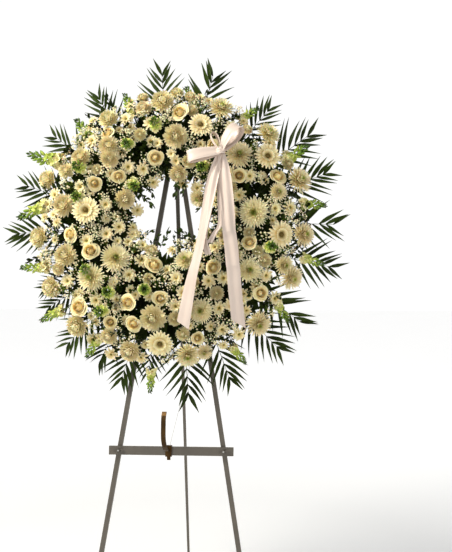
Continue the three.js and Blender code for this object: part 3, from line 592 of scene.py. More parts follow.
# Petal colours from root to tip, and the greens of hearts and buds from pale to dark; the darker, browner root
# ends of the cream, blush and warm ramps are partly the petals' own yellower base and partly painted shade deep
# between the petals
petalColours = {
    "cream": [(0.0, (186, 165, 84)), (0.3, (228, 215, 152)), (1.0, (248, 240, 201))],
    "blush": [(0.0, (184, 157, 94)), (0.3, (227, 208, 153)), (1.0, (248, 234, 199))],
    "warm": [(0.0, (230, 180, 84)), (0.6, (248, 221, 140)), (1.0, (252, 239, 186))],
    "green": [
        (0.0, (232, 230, 156)), (0.35, (196, 206, 98)), (0.65, (112, 142, 42)), (1.0, (34, 58, 12)),
    ],
}


def petalMaterial():
    shader = Shader("creamPetals")
    along, tone, green = [shader.mark(name) for name in ("along", "tone", "green")]
    # Through these ramps the petals darken towards their roots: partly their own colour, partly painted shade
    # inside the heads
    cream, blush, warm = [shader.ramp(along, petalColours[name]) for name in ("cream", "blush", "warm")]
    pale = shader.mix((tone * 0.8 + shader.noise(38.0) * 0.6 - 0.35).clamped(), cream, blush)
    yellow = shader.mix(shader.mark("warm") * 0.85, pale, warm)
    tinted = shader.mix((green * 3.0).clamped(), yellow, shader.ramp(green, petalColours["green"]))
    eye = shader.mix(shader.noise(700.0), paint(54, 38, 6), paint(120, 98, 22))
    colour = shader.mix(shader.mark("dark"), tinted, eye)
    veins = shader.noise(420.0, 3.0)
    return shader.finish(
        Base_Color=colour, Roughness=0.5 + veins * 0.16, Normal=shader.bump(veins, 0.35, 0.0006),
        Subsurface_Weight=0.12, Subsurface_Scale=0.004, Specular_IOR_Level=0.35,
    )


def leafMaterial():
    shader = Shader("glossLeaves")
    along, tone = shader.mark("along"), shader.mark("tone")
    patches = shader.noise(26.0)
    base = shader.mix((tone * 0.7 + patches * 1.2 - 0.4).clamped(), paint(14, 20, 4), paint(44, 60, 13))
    light = shader.mix((shader.mark("green") * 0.55 + along * 0.08).clamped(), base, paint(92, 116, 34))
    fine = shader.noise(300.0, 4.0)
    return shader.finish(
        Base_Color=light, Roughness=0.42 + fine * 0.2, Normal=shader.bump(fine, 0.3, 0.0008),
        Specular_IOR_Level=0.12,
    )


def satinMaterial():
    shader = Shader("satinRibbon")
    uv = shader.node("ShaderNodeTexCoord", output="UV")
    slow = shader.noise(9.0, 2.0)
    base = shader.mix(slow, paint(206, 186, 172), paint(220, 204, 190))
    weave = shader.node("ShaderNodeTexWave", {"wave_type": "BANDS", "bands_direction": "Y"}, {
        "Vector": uv, "Scale": 190.0, "Distortion": 0.6, "Detail": 1.0,
    }, output="Fac")
    return shader.finish(
        Base_Color=base, Roughness=0.3 + slow * 0.14, Normal=shader.bump(weave, 0.12, 0.0002),
        Sheen_Weight=0.1, Specular_IOR_Level=0.45,
    )


# Metals and plastics: a base, worn patches, fine grain
def hardMaterial(name, base, worn, roughness, metallic, grain=180.0, depth=0.25, patch=14.0, wear=0.5):
    shader = Shader(name)
    patches = shader.noise(patch, 5.0, rough=0.65)
    fine = shader.noise(grain, 4.0)
    share = (patches * 2.4 - 0.9).clamped() * wear
    return shader.finish(
        Base_Color=shader.mix(share, paint(*base), paint(*worn)), Metallic=metallic,
        Roughness=roughness + fine * 0.22 - share * 0.1, Normal=shader.bump(fine, depth, 0.0006),
    )


petals = petalMaterial()
leaves = leafMaterial()
satin = satinMaterial()
# Name, base, worn, roughness, metallic, the grain's scale and depth, the patches' scale and their wear
steel = hardMaterial("dullSteel", (104, 98, 89), (78, 73, 66), 0.4, 0.4, 260.0, 0.2)
brightWire = hardMaterial("brightSteel", (196, 194, 188), (150, 148, 142), 0.2, 0.95, 320.0, 0.15)
bronze = hardMaterial("oldBronze", (56, 38, 16), (104, 76, 34), 0.34, 0.8, 200.0, 0.35, 30.0, 0.7)
rubber = hardMaterial("blackRubber", (34, 34, 38), (58, 56, 54), 0.62, 0.0, 240.0, 0.4)
trayPlastic = hardMaterial("greenPlastic", (38, 52, 30), (56, 70, 44), 0.42, 0.0, 150.0, 0.2)
foam = hardMaterial("floralFoam", (52, 84, 52), (38, 64, 38), 0.75, 0.0, 420.0, 0.9, 60.0)

nodeFinish = {
    "front_leg": steel, "rear_leg": steel, "crossbar_bolt": brightWire, "crossbar": steel, "wing_nut": steel,
    "head_bracket": steel, "hinge_pin": brightWire, "cradle_hook": bronze, "tie_wire": brightWire,
    "hanging_wire": brightWire, "foot_cap": rubber, "backing_tray": trayPlastic, "foam_ring": foam,
    "greens": leaves, "blooms": petals, "ribbon": satin,
}
for nodeName, node in frame["nodes"].items():
    finish = next(look for start, look in nodeFinish.items() if nodeName.startswith(start))
    for slot in node.material_slots:
        slot.material = finish
print("materials made")


# A new tree with a mesh in and out, and its other inputs by name, as [kind, start value]
def newTree(name, inputs):
    tree = bpy.data.node_groups.new(name, "GeometryNodeTree")
    for way in ("INPUT", "OUTPUT"):
        tree.interface.new_socket(name="Geometry", in_out=way, socket_type="NodeSocketGeometry")
    for inputName, (kind, start) in inputs.items():
        socket = tree.interface.new_socket(name=inputName, in_out="INPUT", socket_type="NodeSocket" + kind)
        if start is not None:
            socket.default_value = start
    return tree, tree.nodes.new("NodeGroupInput").outputs


def endTree(tree, made, material):
    dressed = addNode(tree, "GeometryNodeSetMaterial", {}, {"Geometry": made, "Material": material})
    addNode(tree, "NodeGroupOutput", {}, {0: dressed})
    return tree


# Sets a piece of the library on each point, by the point's own kind, turn and size
def scatterTree():
    tree, entry = newTree("scatterOnWreath", {
        "Library": ("Collection", None), "Size Factor": ("Float", 1.0), "Wobble": ("Float", 0.1),
        "Seed": ("Int", 1), "Extra": ("Object", None), "Material": ("Material", None),
    })
    kind, turn, size = [
        addNode(tree, "GeometryNodeInputNamedAttribute", {"data_type": dataType}, {"Name": name}, "Attribute")
        for name, dataType in (("kind", "INT"), ("turn", "FLOAT_VECTOR"), ("size", "FLOAT"))
    ]
    scaled, low = [
        addNode(tree, "ShaderNodeMath", {"operation": "MULTIPLY"}, {0: first, 1: second})
        for first, second in ((size, entry["Size Factor"]), (entry["Wobble"], -1.0))
    ]
    library = addNode(tree, "GeometryNodeCollectionInfo", {"transform_space": "ORIGINAL"}, {
        "Collection": entry["Library"], "Separate Children": True, "Reset Children": True,
    })
    placed = addNode(tree, "GeometryNodeInstanceOnPoints", {}, {
        "Points": entry["Geometry"], "Instance": library, "Pick Instance": True, "Instance Index": kind,
        "Rotation": addNode(tree, "FunctionNodeEulerToRotation", {}, {0: turn}), "Scale": scaled,
    })
    wobble = addNode(tree, "FunctionNodeRandomValue", {"data_type": "FLOAT_VECTOR"}, {
        "Min": low, "Max": entry["Wobble"], "Seed": entry["Seed"],
    })
    turned = addNode(tree, "GeometryNodeRotateInstances", {}, {
        "Instances": placed, "Rotation": wobble, "Local Space": True,
    })
    tone = addNode(tree, "FunctionNodeRandomValue", {"data_type": "FLOAT"}, {"Seed": entry["Seed"]}, 1)
    marked = addNode(tree, "GeometryNodeStoreNamedAttribute", {"data_type": "FLOAT", "domain": "INSTANCE"}, {
        "Geometry": turned, "Name": "tone", "Value": tone,
    })
    both = addNode(tree, "GeometryNodeJoinGeometry", {}, {
        0: addNode(tree, "GeometryNodeRealizeInstances", {}, {"Geometry": marked}),
    })
    extra = addNode(tree, "GeometryNodeObjectInfo", {}, {"Object": entry["Extra"]}, "Geometry")
    tree.links.new(extra, both.node.inputs[0])
    return endTree(tree, both, entry["Material"])


# Draws a round stem along each edge path
def stemTree():
    tree, entry = newTree("stemsAlongPaths", {
        "Stem Radius": ("Float", 1.5), "Sides": ("Int", 5), "Material": ("Material", None),
    })
    path = addNode(tree, "GeometryNodeMeshToCurve", {}, {"Mesh": entry["Geometry"]})
    ring = addNode(tree, "GeometryNodeCurvePrimitiveCircle", {}, {
        "Resolution": entry["Sides"], "Radius": entry["Stem Radius"],
    })
    tube = addNode(tree, "GeometryNodeCurveToMesh", {}, {
        "Curve": path, "Profile Curve": ring, "Fill Caps": True,
    })
    real = addNode(tree, "GeometryNodeRealizeInstances", {}, {"Geometry": tube})
    return endTree(tree, real, entry["Material"])


scatter = scatterTree()
stemDraw = stemTree()


def addObject(name, mesh):
    piece = bpy.data.objects.new(name, mesh)
    bpy.context.scene.collection.objects.link(piece)
    return piece


# Runs a tree on a mesh and returns what it makes as a plain mesh
def grown(name, mesh, tree, inputs):
    seedObject = addObject(name + "_seed", mesh)
    modifier = seedObject.modifiers.new("tree", "NODES")
    modifier.node_group = tree
    for item in tree.interface.items_tree:
        if item.in_out == "INPUT" and item.name in inputs:
            modifier[item.identifier] = inputs[item.name]
    graph = bpy.context.evaluated_depsgraph_get()
    result = bpy.data.meshes.new_from_object(seedObject.evaluated_get(graph), depsgraph=graph)
    seedObject.modifiers.remove(modifier)
    bpy.data.objects.remove(seedObject)
    result.name = name
    return result


def pointMesh(items):
    mesh = bpy.data.meshes.new("points")
    mesh.from_pydata([item["place"] for item in items], [], [])
    for mark, kind, field in (
        ("kind", "INT", "value"), ("turn", "FLOAT_VECTOR", "vector"), ("size", "FLOAT", "value"),
    ):
        values = np.array([item[mark] for item in items]).ravel().tolist()
        mesh.attributes.new(mark, kind, "POINT").data.foreach_set(field, values)
    return mesh


# Flowers, as [across, up] in millimetres from the wreath's centre and, where it varies, a diameter
mums = [
    [-210, 265, 75], [-205, 220, 72], [-215, 360, 75], [-30, 420, 85], [-95, 395, 60], [-360, 60, 85],
    [-425, 155, 75], [-305, 225, 75], [-355, 180, 60], [20, 295, 90], [235, 230, 95], [170, 395, 90],
    [330, 310, 85], [435, 150, 95], [285, 35, 105], [365, 105, 65], [95, 95, 70], [-350, -110, 85],
    [-180, -120, 100], [-260, -185, 98], [-315, -345, 85], [-405, -215, 80], [-450, -45, 80], [-50, -320, 95],
    [-200, -380, 65], [-130, -430, 80], [270, -160, 85], [110, -295, 85], [65, -440, 90], [300, -335, 90],
    [410, -180, 85], [450, -35, 85], [385, -140, 70], [55, -125, 75], [-155, 85, 76], [120, -430, 60],
    [-375, -155, 50], [25, 175, 70],
]
gerberas = [[-280, 40, 100], [105, 330, 90], [330, 225, 95], [375, -40, 98], [-25, -405, 96]]
roses = [
    [-50, 225, 56], [-215, 310, 52], [-255, 135, 52], [-175, 160, 50], [30, 380, 60], [-335, -40, 54],
    [-265, -95, 60], [-50, -140, 60], [-305, -285, 66], [-135, -270, 56], [-25, -255, 52], [-115, -340, 56],
    [-195, -335, 46], [150, -150, 56], [270, -65, 52], [310, -235, 52], [100, -385, 44], [235, 160, 50],
    [365, 160, 56], [145, 265, 40],
]
daisies = [
    [-145, 195], [-95, 190], [-65, 150], [-305, 125], [-220, 65], [-175, -10], [-215, -35], [-120, 55],
    [-395, 100], [-155, 360], [-270, 285], [-70, 345], [35, 150], [115, 240], [235, 95], [355, 50],
    [405, 55], [90, 130], [205, 330], [335, 275], [270, 160], [-280, -60], [-95, -125], [-135, -175],
    [25, -185], [-245, -260], [-265, -390], [-200, -440], [-95, -450], [-345, -195], [50, -235],
    [25, -280], [135, -195], [185, -185], [325, -175], [170, -285], [180, -355], [235, -370],
    [155, -80], [210, -275], [355, -250],
]
# Flower spikes, as [root across, root up, tip across, tip up]
spikes = [
    [-380, 220, -515, 250], [-270, 285, -340, 380], [-130, 375, -175, 465], [-430, 70, -540, 25],
    [80, 400, 45, 490], [230, 360, 300, 415], [380, 215, 475, 275], [440, 75, 535, 65],
    [445, -110, 530, -130], [360, -260, 405, -335], [210, -410, 260, -475], [-425, -145, -525, -150],
    [-365, -290, -450, -330], [-340, -195, -400, -235], [-235, -380, -290, -455], [-60, -490, -60, -575],
]
# Bunches of green buds that face the viewer
budBunches = [
    [-50, 335], [115, 200], [340, -80], [-275, -160], [-200, -235], [-220, -295], [-80, -225],
    [-305, 190], [-310, 85], [-145, 270], [-130, 140],
]
# Palm fronds, as [degrees clockwise from the top, how far the tip is from the centre]
fronds = [
    [355, 590], [13, 605], [38, 560], [57, 610], [72, 600], [88, 600], [105, 600], [125, 590], [141, 600],
    [160, 600], [175, 620], [188, 540], [199, 590], [207, 560], [220, 575], [238, 545], [245, 520],
    [269, 575], [284, 575], [309, 570], [328, 565],
]
# Leafy sprigs that reach into the ring's hole, as [degrees clockwise from the top, length]
holeSprigs = [
    [316, 74], [330, 56], [8, 78], [18, 60], [58, 50], [120, 66], [134, 58], [168, 40], [206, 62], [226, 46],
    [252, 50],
]

# Sizes in millimetres; a sink moves a head back into the mound, and a pair is the range of a random value
planting = {
    "seed": 77, "tilt": 0.12, "mumGrow": 1.12, "openFrom": 40, "openOver": 96, "roseGrow": 1.08,
    "roseTilt": 0.4, "gerberaSink": -14, "daisyAcross": 59.36, "daisySink": 12, "budLength": 40, "budSink": 6,
    "spikeOut": 96, "spikeDrop": 4,
}
# What fills the room between them: clear is how far each keeps from the heads that are there
fillers = {
    "ballMum": {"spots": {"count": 26, "clear": 6, "choices": 4}, "across": (46, 60), "sink": 14},
    "daisy": {"spots": {"count": 84, "clear": 0, "choices": 4}, "across": (40, 52), "sink": 22},
}
breathFill = {
    "spots": {"count": 205, "clear": -14, "inside": 10, "outside": 448, "choices": 3},
    "across": 48, "vary": (0.8, 1.2), "sink": (2, 24), "tilt": 0.5,
}


def turnTo(facing, spin):
    return (Vector(facing).to_track_quat("Z", "Y").to_matrix() @ Matrix.Rotation(spin, 3, "Z")).to_euler()


rng = random.Random(planting["seed"])
heads = []


def placeHead(name, kind, place, size, facing, clock):
    turn = turnTo(facing, rng.uniform(0, math.tau))
    heads.append({
        "name": name, "kind": kind, "place": place, "size": size, "turn": turn, "clock": clock,
        "sector": sectorOf(clock),
    })


# A head on the mound, turned a little away from the way that its surface faces
def addHead(name, across, up, size, sink=0, tilt=planting["tilt"]):
    clock, out, facing = moundAt(across, up)
    out = max(out - sink, wreath["under"] + size / 2)
    facing = (facing + Vector((rng.uniform(-tilt, tilt), rng.uniform(-tilt, tilt), 0))).normalized()
    placeHead(name, rng.choice(flowerOrder[name]), Vector((across, up, out)), size, facing, clock)


for across, up, size in mums:  # those on the right and the largest are open, the others balls
    isOpen = across > planting["openFrom"] or size > planting["openOver"]
    addHead("openMum" if isOpen else "ballMum", across, up, size * planting["mumGrow"])
for across, up, size in gerberas:
    addHead("gerbera", across, up, size, planting["gerberaSink"])
for across, up, size in roses:
    addHead("rose", across, up, size * planting["roseGrow"], 0, planting["roseTilt"])
for across, up in daisies:
    addHead("daisy", across, up, planting["daisyAcross"], planting["daisySink"])
for across, up in budBunches:
    addHead("budBunch", across, up, planting["budLength"], planting["budSink"])


# Free places between the heads that are there already: of a few random ones, the one with the most room
def freeSpots(count, clear, inside=18, outside=462, choices=1):
    taken = [(head["place"].x, head["place"].y, head["size"] * 0.5) for head in heads]
    spots = []
    for _ in range(count * 60):
        if len(spots) == count:
            break
        best, room = None, clear
        for _ in range(choices):
            clock = rng.uniform(0, math.tau)
            low = holeEdge(clock) + inside
            radius = math.sqrt(rng.uniform(low * low, outside * outside))
            across, up = radius * math.sin(clock), radius * math.cos(clock)
            gap = min(math.hypot(across - x, up - y) - reach for x, y, reach in taken)
            if gap > room:
                best, room = Vector((across, up)), gap
        if best:
            spots.append(best)
            taken.append((best.x, best.y, max(0, clear * 1.6)))
    return spots


for name, filler in fillers.items():
    for spot in freeSpots(**filler["spots"]):
        addHead(name, *spot, rng.uniform(*filler["across"]), filler["sink"])
for spot in freeSpots(**breathFill["spots"]):
    across = breathFill["across"] * rng.uniform(*breathFill["vary"])
    addHead("breath", *spot, across, rng.uniform(*breathFill["sink"]), breathFill["tilt"])
for rootAcross, rootUp, tipAcross, tipUp in spikes:
    root = Vector((rootAcross, rootUp, planting["spikeOut"]))
    along = Vector((tipAcross, tipUp, planting["spikeOut"] - planting["spikeDrop"])) - root
    placeHead("spike", flowerOrder["spike"][0], root, along.length, along, math.atan2(rootAcross, rootUp))
print(len(heads), "flower heads")

# Leaves and fronds, in millimetres and radians
palms = {"sink": 4, "levels": [12, 25, 38], "pitch": (0.0, 0.1), "roll": (-0.3, 0.3)}
broadLeaves = {
    "count": 220, "length": 122, "vary": (0.85, 1.0), "edge": 446, "holeGap": 8, "foot": 0.95, "out": (20, 56),
    "swing": (-0.35, 0.35), "pitch": (0.05, 0.45), "roll": (-0.5, 0.5),
}
sprigs = {
    "spots": {"count": 460, "clear": -26, "inside": 14}, "length": 66, "vary": (0.8, 1.2), "depth": (1.0, 1.35),
    "lowest": 50, "pitch": (0.55, 1.35), "holeFoot": 20, "holeSink": 22, "holePitch": 0.15,
}
greens = []


def addGreen(name, place, heading, pitch, roll, size, clock):
    turn = turnZ(heading) @ turnY(-pitch) @ turnX(roll)
    greens.append({
        "kind": rng.choice(leafOrder[name]), "place": Vector(place), "size": size, "turn": turn.to_euler(),
        "sector": sectorOf(clock),
    })


def onRing(clock, radius, out):
    return Vector((radius * math.sin(clock), radius * math.cos(clock), out))


frondRoot = wreath["ringMiddle"] + wreath["matHalf"] - palms["sink"]
for index, (clockDeg, tip) in enumerate(fronds):
    clock = math.radians(clockDeg)
    place = onRing(clock, frondRoot, palms["levels"][index % len(palms["levels"])])
    pitch, roll = rng.uniform(*palms["pitch"]), rng.uniform(*palms["roll"])
    addGreen("frond", place, math.pi / 2 - clock, pitch, roll, tip - frondRoot, clock)
for k in range(broadLeaves["count"]):  # two of three point outwards
    clock, outward = k * goldenTurn, k % 3 != 0
    heading = math.pi / 2 - clock + (0 if outward else math.pi) + rng.uniform(*broadLeaves["swing"])
    away = wreath["matHalf"] * broadLeaves["foot"]
    radius = wreath["ringMiddle"] + (away if outward else -away)
    room = broadLeaves["edge"] - radius if outward else radius - holeEdge(clock) - broadLeaves["holeGap"]
    size = min(room, broadLeaves["length"]) * rng.uniform(*broadLeaves["vary"])
    place = onRing(clock, radius, rng.uniform(*broadLeaves["out"]))
    pitch, roll = rng.uniform(*broadLeaves["pitch"]), rng.uniform(*broadLeaves["roll"])
    addGreen("broadLeaf", place, heading, pitch, roll, size, clock)
for spot in freeSpots(**sprigs["spots"]):
    clock, out, _ = moundAt(*spot)
    foot = (*spot, max(out - sprigs["length"] * rng.uniform(*sprigs["depth"]), sprigs["lowest"]))
    heading, pitch = rng.uniform(0, math.tau), rng.uniform(*sprigs["pitch"])
    addGreen("sprig", foot, heading, pitch, 0, sprigs["length"] * rng.uniform(*sprigs["vary"]), clock)
for clockDeg, length in holeSprigs:
    clock = math.radians(clockDeg)
    edge = onRing(clock, holeEdge(clock) + sprigs["holeFoot"], 0)
    foot = (edge.x, edge.y, moundAt(edge.x, edge.y)[1] - sprigs["holeSink"])
    addGreen("sprig", foot, -math.pi / 2 - clock, sprigs["holePitch"], 0, length, clock)

# reach is how far a stem's foot may stand from the middle of its sector, as a share of the sector;
# bend is where the stem turns, as shares of its foot and its head, and bendOut how far out
stem = {
    "radius": 1.5, "sides": 4, "steps": 4, "reach": 0.42, "spread": 35, "footOut": 56, "bend": (0.45, 0.55),
    "bendOut": 0.35,
}


# Curved paths from the mat to each head
def stemMesh(items):
    points, edges = [], []
    steps, wide = stem["steps"], math.tau / wreath["sectors"]
    for item in items:
        middle = (item["sector"] + 0.5) * wide
        off = math.atan2(math.sin(item["clock"] - middle), math.cos(item["clock"] - middle))
        clock = middle + max(-wide * stem["reach"], min(wide * stem["reach"], off))
        radius = wreath["ringMiddle"] + rng.uniform(-stem["spread"], stem["spread"])
        foot = onRing(clock, radius, stem["footOut"])
        head = item["place"] - Vector((0, 0, item["size"] * 0.12 if item["name"] != "spike" else 0))
        across, up = [foot[axis] * stem["bend"][0] + head[axis] * stem["bend"][1] for axis in (0, 1)]
        bend = Vector((across, up, between(foot.z, head.z, stem["bendOut"])))
        start = len(points)
        for step in range(steps + 1):
            share = step / steps
            points.append(foot * (1 - share) ** 2 + bend * 2 * share * (1 - share) + head * share ** 2)
        edges.extend((start + step, start + step + 1) for step in range(steps))
    mesh = bpy.data.meshes.new("paths")
    mesh.from_pydata(points, edges, [])
    return mesh


mat = {"columns": 16, "ripple": 2.2, "wallDrop": 4, "swell": 2}


# The moss that covers the foam over one sector, from wall to wall
def mossShape(sector):
    start = sector * math.tau / wreath["sectors"]
    half, low, top = wreath["matHalf"], wreath["matLow"], wreath["matTop"]
    wall = [(-half, low), (-half, between(low, top, 0.5)), (-half, top - mat["wallDrop"])]
    wall += [(-half * 0.8, top + mat["swell"]), (-half * 0.4, top + mat["swell"])]
    section = [*wall, (0, top + mat["swell"]), *[(-reach, out) for reach, out in reversed(wall)]]
    grid = []
    for reach, out in section:
        grid.append([])
        for column in range(mat["columns"] + 1):
            clock = start + math.tau / wreath["sectors"] * column / mat["columns"]
            ripple = rng.uniform(0, mat["ripple"]) if 0 < column < mat["columns"] else 0
            radius = wreath["ringMiddle"] + reach + math.copysign(ripple, reach)
            grid[-1].append(onRing(clock, radius, out + ripple * 0.5))
    return gridShape(grid, along=0.2)


def wreathPiece(name, mesh, *nodes, slotName):
    mesh.transform(wreathPlace)
    piece = addObject(name, mesh)
    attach(piece, "frame")
    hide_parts(*nodes)
    return piece


for sector in range(wreath["sectors"]):
    number = f"{sector + 1:02d}"
    headsHere = [head for head in heads if head["sector"] == sector]
    greensHere = [green for green in greens if green["sector"] == sector]
    flowersMesh = grown("flowers_" + number, pointMesh(headsHere), scatter, {
        "Library": flowerLibrary, "Size Factor": 1.0, "Wobble": 0.06, "Seed": 11 + sector, "Material": petals,
    })
    wreathPiece("flowers_" + number, flowersMesh, "blooms_" + number, slotName="petal")
    stems = grown("stems", stemMesh(headsHere), stemDraw, {
        "Stem Radius": stem["radius"], "Sides": stem["sides"], "Material": leaves,
    })
    base = [addObject("stemsAndMoss", stems), addObject("moss", mossShape(sector).toMesh("moss"))]
    bpy.ops.object.select_all(action="DESELECT")
    for part in base:
        part.select_set(True)
    bpy.context.view_layer.objects.active = base[0]
    bpy.ops.object.join()
    greensMesh = grown("leaves_" + number, pointMesh(greensHere), scatter, {
        "Library": leafLibrary, "Size Factor": 1.0, "Wobble": 0.1, "Seed": 51 + sector, "Extra": base[0],
        "Material": leaves,
    })
    bpy.data.objects.remove(base[0])
    wreathPiece("leaves_" + number, greensMesh, "greens_" + number, slotName="leaf")
for collection in (flowerLibrary, leafLibrary):
    for piece in list(collection.objects):
        bpy.data.objects.remove(piece)
    bpy.data.collections.remove(collection)
print("flowers and leaves planted")

# Satin ribbon: two tails, two short ends, three loops and the knot round them, in wreath millimetres
ribbon = {
    "width": 46, "out": 205, "knot": [176, 232], "knotHalf": [15, 12, 12.5], "columns": 10,
    "slant": 15, "slantFrom": 0.92, "slantRun": 0.08,
}


# A band along a path in wreath places; wideAt gives its width direction, folds run along it
def bandMesh(name, path, wideAt, width, pleat, folds, slant):
    grid, lengths = [], [0]
    columns = ribbon["columns"]
    for before, after in zip(path, path[1:]):
        lengths.append(lengths[-1] + (after - before).length)
    for index, middle in enumerate(path):
        share = index / (len(path) - 1)
        ahead = path[min(index + 1, len(path) - 1)] - path[max(index - 1, 0)]
        wide = wideAt(share).normalized()
        normal = ahead.cross(wide).normalized()
        grid.append([])
        for column in range(columns + 1):
            side = column / columns * 2 - 1
            wave = math.sin(side * math.pi * folds / 2 + 1.2 * math.sin(share * 6))
            place = middle + wide * (side * width(share) / 2) + normal * pleat(share) * wave
            slanted = side * slant * max(0, share - ribbon["slantFrom"]) / ribbon["slantRun"]
            grid[-1].append(place + ahead.normalized() * slanted)
    mesh = gridShape(grid, along=0.5).toMesh(name)
    layer = mesh.uv_layers.new(name="cut")
    for loop in mesh.loops:
        row, column = divmod(loop.vertex_index, columns + 1)
        layer.data[loop.index].uv = (column / columns * ribbon["width"] * mm, lengths[row] * mm)
    mesh.materials.append(satin)
    return mesh, lengths[-1]


def smoothPath(corners, steps):
    corners = [Vector(corner) for corner in corners]
    points = []
    for k in range(len(corners) - 1):
        before, start = corners[max(k - 1, 0)], corners[k]
        end, after = corners[k + 1], corners[min(k + 2, len(corners) - 1)]
        for step in range(steps):
            t = step / steps
            points.append(
                ((-t + 2 * t * t - t ** 3) * before + (2 - 5 * t * t + 3 * t ** 3) * start
                 + (t + 4 * t * t - 3 * t ** 3) * end + (-t * t + t ** 3) * after) / 2
            )
    return [*points, corners[-1]]


def addRibbon(name, path, wideAt, width, pleat, flatWidth, node, folds=3, slant=0):
    mesh, length = bandMesh(name, path, wideAt, width, pleat, folds, slant)
    piece = wreathPiece(name, mesh, node, slotName="satin_ribbon")
    flatWidth * mm
    print(name, round(length), "mm long")


# A value that changes along a band, through pairs of [share of the way, value]
def stepped(pairs, share):
    return float(np.interp(share, *zip(*pairs)))


# The bands that hang from the knot: the way down of each one's middle, and how it turns, widens and folds
tail = {
    "steps": 8, "pleat": [(0, 3.0), (0.3, 3.4), (0.5, 1.8), (1, 0.7)], "dip": 0.05,
    "flat": ribbon["width"], "slant": ribbon["slant"],
}
shortEnd = {
    "steps": 7, "pleat": [(0, 1.4)], "dip": 0.1, "flat": 20, "slant": 0, "node": "ribbon_bow",
    "turn": [(0, 1.1), (1, 0.1)], "width": [(0, 12), (1, 22)],
}
hanging = {
    "tail_left": {
        **tail, "node": "ribbon_tail_left",
        "path": [
            [176, 230, 206], [160, 180, 207], [146, 120, 209], [128, 20, 207], [106, -92, 200],
            [82, -190, 196], [67, -270, 190], [54, -345, 180],
        ],
        "turn": [(0, -0.2), (0.3, 0.35), (0.5, 0.85), (0.62, 0.75), (0.8, 0.4), (1, 0.2)],
        "width": [(0, 20), (0.12, 32), (0.3, 42), (1, 46)],
    },
    "tail_right": {
        **tail, "node": "ribbon_tail_right",
        "path": [
            [178, 230, 206], [186, 180, 209], [193, 120, 211], [200, 40, 208], [205, -28, 209],
            [208, -50, 203], [213, -90, 202], [218, -143, 204], [221, -167, 198], [226, -230, 195],
            [238, -340, 184],
        ],
        "turn": [(0, -0.1), (0.2, 0.25), (0.4, -0.25), (0.55, -0.1), (0.75, -0.2), (1, -0.3)],
        "width": [(0, 20), (0.1, 36), (0.2, 45), (1, 46)],
    },
    "short_end_right": {
        **shortEnd,
        "path": [
            [178, 226, 203], [168, 140, 204], [172, 70, 205], [176, -8, 205], [158, -40, 204], [140, -74, 202],
        ],
    },
    "short_end_left": {
        **shortEnd,
        "path": [[176, 226, 202], [160, 120, 202], [136, 10, 200], [124, -60, 200], [137, -112, 198]],
    },
}


def bandAcross(band, share):
    turn = stepped(band["turn"], share)
    return Vector((math.cos(turn), band["dip"], math.sin(turn)))


for name, band in hanging.items():
    addRibbon(
        name, smoothPath(band["path"], band["steps"]), lambda share: bandAcross(band, share),
        lambda share: stepped(band["width"], share), lambda share: stepped(band["pleat"], share),
        band["flat"], band["node"], slant=band["slant"],
    )


# A loop that leaves the knot along a clock angle and comes back behind itself
def loopPath(loop, steps=28):
    clock, tilt = math.radians(loop["clockDeg"]), loop["tilt"]
    way = Vector((math.sin(clock), math.cos(clock), 0))
    perp = Vector((way.y, -way.x, 0))
    outward = Vector((0, 0, 1))
    lift = outward * math.cos(tilt) - perp * math.sin(tilt)
    wide = perp * math.cos(tilt) + outward * math.sin(tilt)
    foot = Vector((*ribbon["knot"], ribbon["out"] + 14))
    path = []
    for step in range(steps + 1):
        turn = math.tau * step / steps
        share = (1 - math.cos(turn)) / 2
        away = lift * loop["puff"] * math.sin(turn) * (0.3 + 0.7 * share ** 0.8)
        path.append(foot + way * loop["length"] * share + away)
    return path, wide


loops = {
    "loop_left": {"clockDeg": 259, "length": 112, "puff": 17, "tilt": -0.22, "width": 42},
    "loop_right": {"clockDeg": 36, "length": 104, "puff": 27, "tilt": 0.6, "width": 46},
    "loop_small": {"clockDeg": 334, "length": 66, "puff": 14, "tilt": 1.25, "width": 24},
}
for name, loop in loops.items():
    path, wide = loopPath(loop)
    addRibbon(
        "bow_" + name, path, lambda share: wide,
        lambda share: loop["width"] * between(0.36, 1.0, math.sin(share * math.pi) ** 0.6),
        lambda share: 2.4 - 1.6 * math.sin(share * math.pi), loop["width"], "ribbon_bow",
    )

halfAcross, halfUp, halfOut = ribbon["knotHalf"]
knotMiddle = Vector((*ribbon["knot"], ribbon["out"] + 13))
knotPath = []
for step in range(25):
    turn = math.tau * step / 24
    away = Vector((halfAcross * math.sin(turn), 2 * math.sin(turn), halfOut * math.cos(turn)))
    knotPath.append(knotMiddle + away)
addRibbon(
    "bow_knot", knotPath, lambda share: Vector((0.12, 1, 0)), lambda share: 2 * halfUp, lambda share: 1.4, 34,
    "ribbon_bow", 5,
)
print("ribbon tied")

# Floor, light and camera
floor = {"reach": 9.0, "nearGlow": 0.3, "farGlow": 0.7, "nearEnd": 1.2, "farStart": 4.0}
corners = [(x * floor["reach"], y * floor["reach"], 0) for x, y in ((-1, -1), (1, -1), (1, 1), (-1, 1))]
floorMesh = bpy.data.meshes.new("floor")
floorMesh.from_pydata(corners, [], [(0, 1, 2, 3)])
floorPiece = addObject("floor", floorMesh)
floorShader = Shader("paleFloor")
middle = floorShader.place()
distance = floorShader.node("ShaderNodeVectorMath", {"operation": "LENGTH"}, {0: middle}, "Value")
fade = floorShader.node("ShaderNodeMapRange", {}, {
    "Value": distance, "From Min": floor["nearEnd"], "From Max": floor["farStart"],
})
glow = floorShader.mix(fade, *[(level, level, level, 1.0) for level in (floor["nearGlow"], floor["farGlow"])])
floorColour = floorShader.mix(floorShader.noise(1.5), paint(226, 226, 224), paint(232, 232, 230))
floorMesh.materials.append(floorShader.finish(
    Base_Color=floorColour, Roughness=0.8, Emission_Color=glow, Emission_Strength=1.0,
))

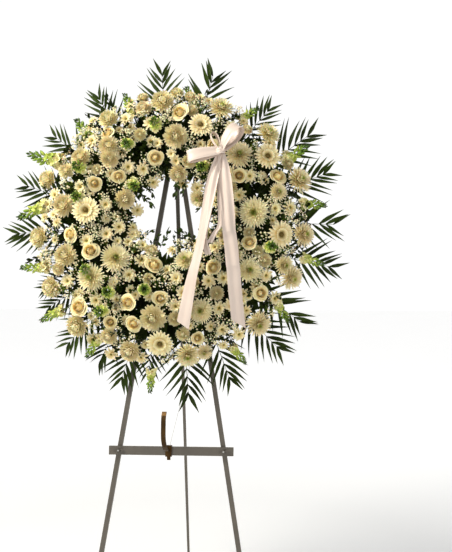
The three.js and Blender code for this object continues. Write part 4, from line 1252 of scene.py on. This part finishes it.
lights = {
    "key": {"place": (-1.75, -1.2, 3.1), "across": 0.9, "power": 92, "colour": (1.0, 0.97, 0.9)},
    "fill": {"place": (3.2, -2.6, 1.6), "across": 2.6, "power": 14, "colour": (0.97, 0.98, 1.0)},
    "back": {"place": (0.6, 3.2, 3.0), "across": 2.4, "power": 40, "colour": (1.0, 1.0, 1.0)},
}
for name, light in lights.items():
    data = bpy.data.lights.new(name, "AREA")
    data.energy = light["power"]
    data.color = light["colour"]
    data.size = light["across"]
    lamp = addObject(name, data)
    lamp.location = light["place"]
    lamp.rotation_euler = (wreathCentre - lamp.location).to_track_quat("-Z", "Y").to_euler()

world = bpy.data.worlds.new("studio")
bpy.context.scene.world = world
world.use_nodes = True
sky = {"low": 1.03, "high": 0.23, "lowEnd": 0.21, "highStart": 0.45}
skyPlace = addNode(world.node_tree, "ShaderNodeTexCoord", output="Generated")
skyUp = addNode(world.node_tree, "ShaderNodeSeparateXYZ", {}, {0: skyPlace}, "Z")
skyFade = addNode(world.node_tree, "ShaderNodeMapRange", {}, {
    "Value": skyUp, "From Min": sky["lowEnd"], "From Max": sky["highStart"], "To Min": sky["low"],
    "To Max": sky["high"],
})
background = world.node_tree.nodes["Background"].inputs
background["Color"].default_value = (1.0, 1.0, 1.0, 1.0)
world.node_tree.links.new(skyFade, background["Strength"])
bpy.context.scene.view_settings.view_transform = "Standard"

# The viewer's place, in metres and radians, as seen from the wreath's centre
view = {
    "distance": 3.4, "azimuth": 0.1165, "height": 1.5, "yaw": -0.0544, "pitch": -0.0845, "roll": -0.0024,
    "behind": 0.05224, "focalPixels": 979.7, "frameHeight": 552, "sensor": 36,
}
place = Vector((
    wreathCentre.x + view["distance"] * math.sin(view["azimuth"]),
    wreathCentre.y - view["distance"] * math.cos(view["azimuth"]) - view["behind"],
    view["height"],
))
heading, pitch, roll = view["azimuth"] + view["yaw"], view["pitch"], view["roll"]
forward = Vector((-math.sin(heading) * math.cos(pitch), math.cos(heading) * math.cos(pitch), math.sin(pitch)))
level = forward.cross(Vector((0, 0, 1))).normalized()
upright = level.cross(forward)
right = level * math.cos(roll) + upright * math.sin(roll)
top = upright * math.cos(roll) - level * math.sin(roll)
cameraData = bpy.data.cameras.new("camera")
cameraData.sensor_width = view["sensor"]
cameraData.lens = view["focalPixels"] / view["frameHeight"] * view["sensor"]
camera = addObject("camera", cameraData)
camera.matrix_world = Matrix.Translation(place) @ Matrix((right, top, -forward)).transposed().to_4x4()
bpy.context.scene.camera = camera
print("camera set")
